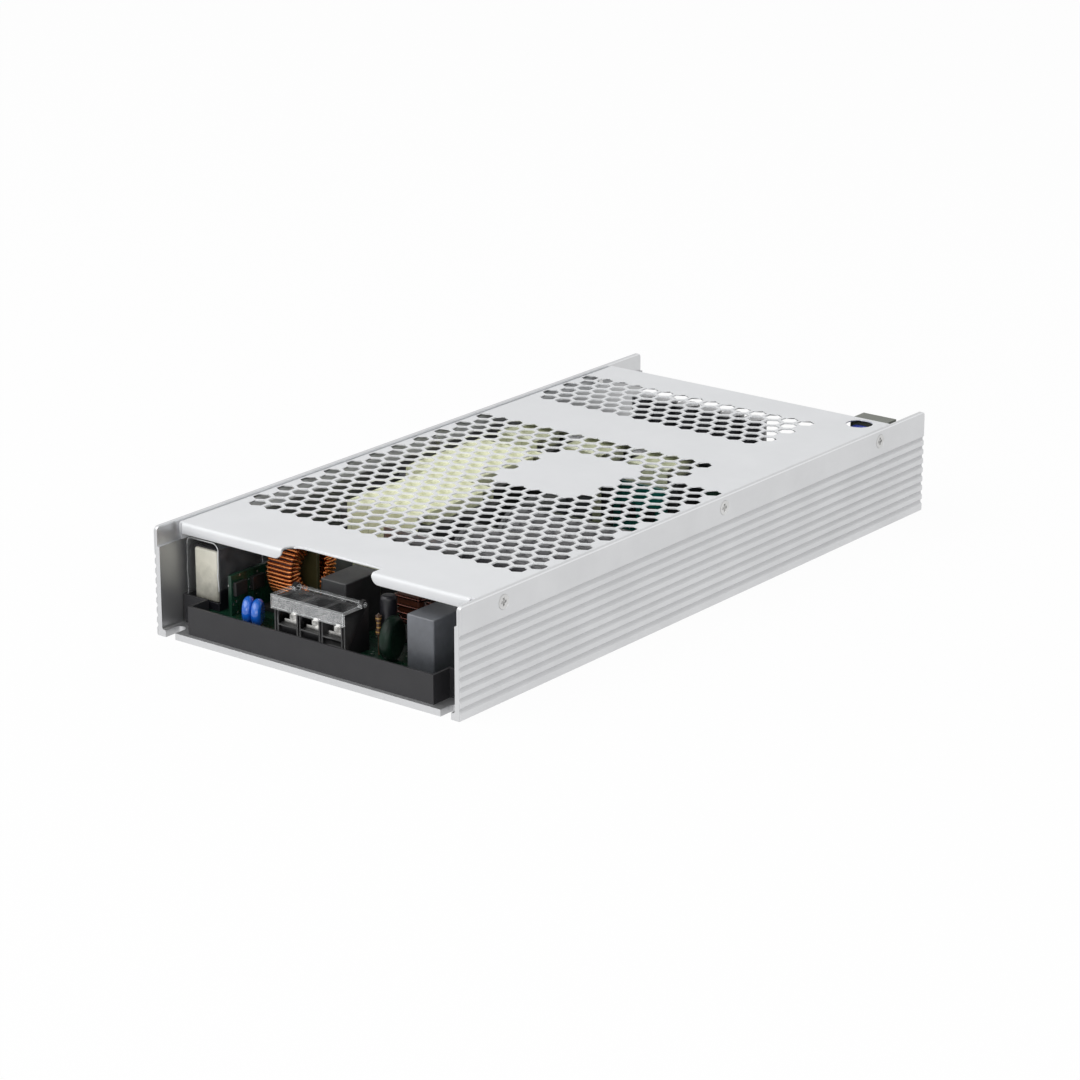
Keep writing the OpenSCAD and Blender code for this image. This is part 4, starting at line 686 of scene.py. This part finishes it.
def plastic_finishes():
    """Moulded, cast, dipped and sleeved plastic, and the ferrite."""
    cream_low, cream_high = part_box("line_capacitor")
    grey_low, grey_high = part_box("filter_capacitor")
    return {
        "ferrite_grey": plastic_finish(
            "ferrite", paint(0.05, 0.05, 0.053), paint(0.034, 0.034, 0.036),
            smooth=0.5, rough=0.72, grain=2600.0, depth=0.05),
        "core_brown": plastic_finish(
            "core_brown", paint(0.1, 0.028, 0.012), paint(0.06, 0.016, 0.006),
            smooth=0.3, rough=0.5, grain=1500.0),
        "tray_black": plastic_finish(
            "tray_black", paint(0.019, 0.0185, 0.021), paint(0.015, 0.0145, 0.017),
            smooth=0.44, rough=0.6, dust=0.04),
        "terminal_black": plastic_finish(
            "terminal_black", paint(0.012, 0.012, 0.013), paint(0.008, 0.008, 0.009),
            smooth=0.3, rough=0.44, dust=0.05),
        "chip_black": plastic_finish(
            "chip_black", paint(0.01, 0.01, 0.01), paint(0.006, 0.006, 0.006),
            smooth=0.46, rough=0.64, dust=0.04, rub=0.05),
        "sleeve_dark": plastic_finish(
            "sleeve_dark", paint(0.011, 0.011, 0.015), paint(0.007, 0.007, 0.01),
            smooth=0.3, rough=0.44, dust=0.03, rub=0.1),
        "box_black": plastic_finish(
            "box_black", paint(0.036, 0.036, 0.038), paint(0.026, 0.026, 0.028),
            smooth=0.34, rough=0.5),
        # The filter and line capacitors carry painted shade toward the bottom
        "box_grey": plastic_finish(
            "epoxy_grey", paint(0.165, 0.175, 0.195), paint(0.14, 0.148, 0.165),
            smooth=0.3, rough=0.46, dust=0.04, foot=(grey_low.z, grey_high.z, 0.75)),
        "capacitor_cream": plastic_finish(
            "capacitor_cream", paint(0.74, 0.72, 0.62), paint(0.64, 0.62, 0.52),
            smooth=0.24, rough=0.38, dust=0.03, coat=0.3,
            foot=(cream_low.z, cream_high.z - CREAM_UNSHADED_TOP, 0.8)),
        "connector_grey": plastic_finish(
            "connector_grey", paint(0.12, 0.13, 0.105), paint(0.098, 0.106, 0.086),
            smooth=0.36, rough=0.5),
        "divider_olive": plastic_finish(
            "divider_olive", paint(0.09, 0.082, 0.032), paint(0.06, 0.056, 0.02),
            smooth=0.34, rough=0.5),
        "trimmer_blue": plastic_finish(
            "trimmer_blue", paint(0.03, 0.06, 0.42), paint(0.022, 0.045, 0.34),
            smooth=0.2, rough=0.32, coat=0.3),
        "disc_blue": plastic_finish(
            "disc_blue", paint(0.01, 0.15, 0.66), paint(0.006, 0.09, 0.5),
            smooth=0.1, rough=0.2, grain=900.0, depth=0.05, dust=0.03, coat=0.8),
        "disc_green": plastic_finish(
            "disc_green", paint(0.004, 0.019, 0.01), paint(0.002, 0.006, 0.004),
            smooth=0.34, rough=0.48, grain=900.0, depth=0.05, dust=0.0, rub=0.0, shine=0.22),
        "can_sleeve": plastic_finish(
            "can_sleeve", paint(0.05, 0.05, 0.057), paint(0.038, 0.038, 0.044),
            smooth=0.2, rough=0.32, coat=0.4),
    }


def other_finishes():
    """Boards, tapes, the ringed resistor and what is clear."""
    return {
        "board_green": board_finish(
            "board_green", paint(0.004, 0.03, 0.016), paint(0.003, 0.017, 0.009),
            track=paint(0.009, 0.055, 0.028)),
        "board_teal": board_finish(
            "board_teal", paint(0.01, 0.16, 0.13), paint(0.008, 0.11, 0.09),
            track=paint(0.03, 0.24, 0.19)),
        "tape_yellow": tape_finish("tape_yellow", paint(0.95, 0.96, 0.68), paint(0.9, 0.92, 0.6)),
        "tape_olive": tape_finish("tape_olive", paint(0.76, 0.78, 0.56), paint(0.66, 0.68, 0.46)),
        "resistor_tan": ringed_resistor_finish(
            "resistor_bands", paint(0.1, 0.05, 0.028), paint(0.06, 0.03, 0.016)),
        "clear_cover": clear_finish(
            "clear_cover", paint(0.93, 0.95, 0.96), smooth=0.03, rough=0.08, ripple=160.0),
        "clear_film": film_finish("clear_film", paint(0.86, 0.88, 0.89)),
    }


finish = {**metal_finishes(), **plastic_finishes(), **other_finishes()}
for node, slot in slot_of.items():
    cad[node].data.materials.clear()
    cad[node].data.materials.append(finish[slot])

# Helpers for pieces that stand in for solids

MERGE = 0.002 * MM
SMOOTH_UP_TO = math.radians(48)


def merged_copy(node):
    """A copy of a solid with its loose triangles joined."""
    shape = bmesh.new()
    shape.from_mesh(cad[node].data)
    bmesh.ops.remove_doubles(shape, verts=shape.verts, dist=MERGE)
    return shape


def shade_by_angle(piece):
    """Smooth shading that keeps large faces flat and real corners sharp."""
    piece.data.polygons.foreach_set("use_smooth", [True] * len(piece.data.polygons))
    piece.data.set_sharp_from_angle(angle=SMOOTH_UP_TO)
    weighted = piece.modifiers.new("flat_faces", "WEIGHTED_NORMAL")
    weighted.keep_sharp = True
    weighted.weight = 100


def stand_in(name, shape, node):
    """Makes a shape the piece that is shown for a solid, on its body and in its slot."""
    mesh = bpy.data.meshes.new(name)
    shape.to_mesh(mesh)
    shape.free()
    mesh.materials.append(finish[slot_of[node]])
    piece = bpy.data.objects.new(name, mesh)
    scene.collection.objects.link(piece)
    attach(piece, body_of[node])
    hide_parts(node)
    shade_by_angle(piece)


# Front of the terminal block

FRONTWARD = -0.99
FRONT_FIT = 0.01 * MM
RIB_GROOVE = 0.62 * MM
RIB_DEPTH = 1.0 * MM
RIB_HEAD = 6.0 * MM
BLOCK_FOOT = 0.4 * MM
SILL = 6.0 * MM
SILL_DEPTH = 1.1 * MM
SINK_FLARE = 0.02 * MM


def front_faces(shape, front):
    """The faces that lie in the front plane."""
    return [
        face for face in shape.faces
        if face.normal.y < FRONTWARD and abs(face.calc_center_median().y - front) < FRONT_FIT
    ]


def sink_front(shape, front, left, right, bottom, top, depth):
    """Sinks a rectangle of a flat front face."""
    planes = [
        ((left, 0, 0), (1, 0, 0)),
        ((right, 0, 0), (1, 0, 0)),
        ((0, 0, bottom), (0, 0, 1)),
        ((0, 0, top), (0, 0, 1)),
    ]
    for point, normal in planes:
        faces = front_faces(shape, front)
        edges = dict.fromkeys(edge for face in faces for edge in face.edges)
        verts = dict.fromkeys(vert for face in faces for vert in face.verts)
        bmesh.ops.bisect_plane(shape, geom=[*faces, *edges, *verts], plane_co=point, plane_no=normal)
    inside = []
    for face in front_faces(shape, front):
        centre = face.calc_center_median()
        if left < centre.x < right and bottom < centre.z < top:
            inside.append(face)
    bmesh.ops.inset_region(
        shape, faces=inside, thickness=SINK_FLARE, depth=-depth, use_even_offset=True, use_boundary=True)


def cut_ribs(shape):
    """Splits each barrier of the terminal block into two ribs and sinks the sills between them."""
    low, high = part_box("terminal_block")
    pitch = (high.x - low.x - BARRIER) / POLES
    foot = low.z + BLOCK_FOOT
    for place in range(POLES + 1):
        left = low.x + (BARRIER - RIB_GROOVE) / 2 + place * pitch
        sink_front(shape, low.y, left, left + RIB_GROOVE, foot, high.z - RIB_HEAD, RIB_DEPTH)
    for place in range(POLES):
        left = low.x + BARRIER + place * pitch
        sink_front(shape, low.y, left, left + pitch - BARRIER, foot, low.z + SILL, SILL_DEPTH)


# Pieces with softened edges

# Widths of the rounded edges in millimetres
EDGE_WIDTHS = {
    "chassis": 0.14,
    "insulating_tray": 0.22,
    "terminal_block": 0.12,
    "terminal_plates": 0.1,
    "terminal_washers": 0.14,
    "terminal_screws": 0.1,
    "cover_screws": 0.08,
    "board_screws": 0.1,
    "line_capacitor": 0.9,
    "line_capacitor_sleeve": 0.15,
    "control_board": 0.1,
    "control_chips": 0.15,
    "x_capacitor": 0.45,
    "filter_capacitor": 0.45,
    "rectifier_capacitor": 0.45,
    "resonant_capacitors": 0.45,
    "choke_divider": 0.15,
    "choke_base": 0.15,
    "second_choke_base": 0.15,
    "inrush_relay": 0.4,
    "rectifier_bridge": 0.35,
    "bridge_heatsink": 0.12,
    "standby_core": 0.3,
    "boost_core": 0.4,
    "main_core": 0.4,
    "output_core": 0.4,
    "boost_coil": 0.28,
    "main_coil": 0.28,
    "output_coil": 0.28,
    "primary_heatsink": 0.12,
    "primary_transistors": 0.3,
    "driver_board": 0.1,
    "driver_chips": 0.15,
    "output_heatsink": 0.12,
    "output_transistors": 0.3,
    "output_base": 0.3,
    "output_bars": 0.25,
    "output_screws": 0.2,
    "signal_board": 0.1,
    "signal_connector": 0.12,
    "trimmer_body": 0.2,
    "trimmer_rotor": 0.12,
    "main_board": 0.1,
    "standby_coil": 0.3,
    "bulk_capacitors": 0.5,
    "output_capacitors": 0.45,
    "capacitor_ends": 0.15,
}
CLEAR_EDGE_WIDTH = 0.24
CLEAR_SIDE_HAZE = 0.24
CORNER = math.radians(32)
FLAT = math.radians(0.6)
UPRIGHT_BELOW = 0.5


def soften(node, width, side_haze=0.0):
    """Shows a solid with narrow rounded edges; its upright faces can carry part of the edge mark."""
    shape = merged_copy(node)
    bmesh.ops.dissolve_limit(
        shape, angle_limit=FLAT, verts=shape.verts, edges=shape.edges, use_dissolve_boundaries=False)
    if node == "terminal_block":
        cut_ribs(shape)
    corners = [edge for edge in shape.edges if edge.is_manifold and edge.calc_face_angle(0.0) > CORNER]
    edge_mark = shape.faces.layers.float.new(EDGE_MARK)
    rounded = bmesh.ops.bevel(
        shape, geom=corners, offset=width * MM, offset_type="OFFSET", affect="EDGES",
        segments=2, profile=0.5, material=-1, clamp_overlap=True,
    )
    for face in shape.faces:
        face[edge_mark] = side_haze if abs(face.normal.z) < UPRIGHT_BELOW else 0.0
    for face in rounded["faces"]:
        face[edge_mark] = 1.0
    stand_in(node + "_softened", shape, node)


for node, width in EDGE_WIDTHS.items():
    soften(node, width)
# The clear cover's rounded edges carry a painted white highlight
soften("terminal_cover", CLEAR_EDGE_WIDTH, CLEAR_SIDE_HAZE)

# Cover

# Rooms at the sheet's edges that keep their full thickness
SIDE_ROOM = 1.5 * MM
FRONT_ROOM = 12.0 * MM
REAR_ROOM = 1.0 * MM
UNDERSIDE_FIT = 0.02 * MM


def make_cover():
    """The cover with its sheet eased from below around the holes, as punching leaves it."""
    shape = merged_copy("top_cover")
    low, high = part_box("top_cover")
    underside = high.z - SHEET
    for vert in shape.verts:
        place = vert.co
        off_sides = low.x + SIDE_ROOM < place.x < high.x - SIDE_ROOM
        off_ends = low.y + FRONT_ROOM < place.y < high.y - REAR_ROOM
        if off_sides and off_ends and abs(place.z - underside) < UNDERSIDE_FIT:
            place.z += EASED
    stand_in("top_cover_eased", shape, "top_cover")


make_cover()

# Insulating film

FILM_CUTS = 15
FILM_CUT_PITCH = 1.5 * MM
FILM_FIRST_LEVEL = 1.9 * MM
FILM_FIRST_STATION = 1.3 * MM
ENDWISE = 0.7
# Strength of the painted highlight on the film's inner and outer cut edges
INNER_EDGE_HIGHLIGHT = 0.9
OUTER_EDGE_HIGHLIGHT = 0.25

# The film is held at its foot and sways freely above
FILM_HELD = 0.9 * MM
FILM_FREED = 6.0 * MM
INNER_SWAY = 0.16 * MM
INNER_LEAN = 0.18 * MM
OUTER_SWAY = 0.13 * MM

# Two slack waves, in radians per millimetre along and up the film
LONG_WAVE = (0.8, 0.45)
CROSS_WAVE = (-0.3, 0.95)
CROSS_SHARE = 0.7


def slice_through(shape, point, normal):
    """Cuts all faces along a plane and keeps both sides."""
    everything = shape.verts[:] + shape.edges[:] + shape.faces[:]
    bmesh.ops.bisect_plane(shape, geom=everything, plane_co=point, plane_no=normal)


def wave_at(along, up, wave):
    """Height of a wave at a place given in millimetres."""
    return math.sin(along * wave[0] + up * wave[1])


def make_film():
    """The insulating film with slack waves, and cut edges marked for a painted highlight that is stronger
    on the inner side.
    """
    shape = merged_copy("insulating_film")
    low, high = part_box("insulating_film")
    middle = (low.x + high.x) / 2
    for cut in range(FILM_CUTS):
        slice_through(shape, (0, 0, low.z + FILM_FIRST_LEVEL + cut * FILM_CUT_PITCH), (0, 0, 1))
    for cut in range(FILM_CUTS):
        slice_through(shape, (0, low.y + FILM_FIRST_STATION + cut * FILM_CUT_PITCH, 0), (0, 1, 0))
    edge_mark = shape.faces.layers.float.new(EDGE_MARK)
    for face in shape.faces:
        if abs(face.normal.y) > ENDWISE:
            inner = face.calc_center_median().x > middle
            face[edge_mark] = INNER_EDGE_HIGHLIGHT if inner else OUTER_EDGE_HIGHLIGHT
    for vert in shape.verts:
        place = vert.co
        along = place.y / MM
        up = place.z / MM
        slack = wave_at(along, up, LONG_WAVE) + CROSS_SHARE * wave_at(along, up, CROSS_WAVE)
        free = min(1.0, max(0.0, (place.z - low.z - FILM_HELD) / FILM_FREED))
        sway = INNER_SWAY * slack + INNER_LEAN if place.x > middle else OUTER_SWAY * slack
        place.x += sway * free
    stand_in("insulating_film_slack", shape, "insulating_film")


make_film()

# Studio, with sizes and places in metres

WHITE = paint(1, 1, 1)
FLOOR_REACH = 6.0
FLOOR_TONE = paint(0.92, 0.92, 0.92)
FLOOR_WHITE = 0.95
WORLD_LIGHT = 0.5
WORLD_CLIMB = (0.0, 0.8)
WORLD_MIRRORED = (0.84, 1.0)


def blend_shaders(tree, share, first, second, end_kind):
    """Mixes two shaders into a tree's surface."""
    blend = put(tree, "ShaderNodeMixShader", Fac=share)
    plug(tree, blend.inputs[1], first.outputs[0])
    plug(tree, blend.inputs[2], second.outputs[0])
    end = tree.nodes.new(end_kind)
    plug(tree, end.inputs["Surface"], blend.outputs[0])


def make_floor():
    """A floor that looks white, and takes soft shadows from the part."""
    shape = bmesh.new()
    bmesh.ops.create_grid(shape, x_segments=1, y_segments=1, size=FLOOR_REACH)
    mesh = bpy.data.meshes.new("studio_floor")
    shape.to_mesh(mesh)
    shape.free()
    floor = bpy.data.objects.new("studio_floor", mesh)
    scene.collection.objects.link(floor)
    material = bpy.data.materials.new("studio_floor")
    material.use_nodes = True
    tree = material.node_tree
    tree.nodes.clear()
    path = put(tree, "ShaderNodeLightPath").outputs
    seen = maths(tree, "ADD", path["Is Camera Ray"], path["Is Transmission Ray"], clamp=True)
    seen = maths(tree, "ADD", seen, path["Is Glossy Ray"], clamp=True)
    matt = put(tree, "ShaderNodeBsdfDiffuse", Color=FLOOR_TONE)
    white = put(tree, "ShaderNodeEmission", Color=WHITE, Strength=1.0)
    share = maths(tree, "MULTIPLY", seen, FLOOR_WHITE)
    blend_shaders(tree, share, matt, white, "ShaderNodeOutputMaterial")
    mesh.materials.append(material)


def make_world():
    """A white surround that is a little darker near the horizon where metal mirrors it."""
    world = bpy.data.worlds.new("studio_world")
    scene.world = world
    world.use_nodes = True
    tree = world.node_tree
    tree.nodes.clear()
    path = put(tree, "ShaderNodeLightPath").outputs
    seen = maths(tree, "ADD", path["Is Camera Ray"], path["Is Transmission Ray"], clamp=True)
    height = part_of(tree, put(tree, "ShaderNodeTexCoord").outputs["Generated"], "Z")
    shown = maths(tree, "MAXIMUM", remap(tree, height, WORLD_CLIMB, WORLD_MIRRORED), seen)
    light = put(tree, "ShaderNodeBackground", Color=WHITE, Strength=WORLD_LIGHT)
    white = put(tree, "ShaderNodeBackground", Color=WHITE, Strength=shown)
    share = maths(tree, "ADD", seen, path["Is Glossy Ray"], clamp=True)
    blend_shaders(tree, share, light, white, "ShaderNodeOutputWorld")


def add_softbox(name, place, aim, size, power):
    """A rectangular lamp that looks at a point."""
    data = bpy.data.lights.new(name, "AREA")
    data.shape = "RECTANGLE"
    data.size, data.size_y = size
    data.energy = power
    lamp = bpy.data.objects.new(name, data)
    scene.collection.objects.link(lamp)
    lamp.location = place
    lamp.rotation_euler = (Vector(place) - Vector(aim)).to_track_quat("Z", "Y").to_euler()


make_floor()
make_world()
add_softbox("key_softbox", place=(-0.7, -1.3, 1.9), aim=(0, 0, 0), size=(2.4, 1.8), power=28.5)
add_softbox("side_softbox", place=(1.6, -0.5, 0.8), aim=(0, 0, 0.02), size=(0.9, 0.9), power=4.0)
add_softbox("fill_softbox", place=(0.9, -1.7, 0.8), aim=(0, 0, 0.02), size=(0.8, 0.8), power=5.0)
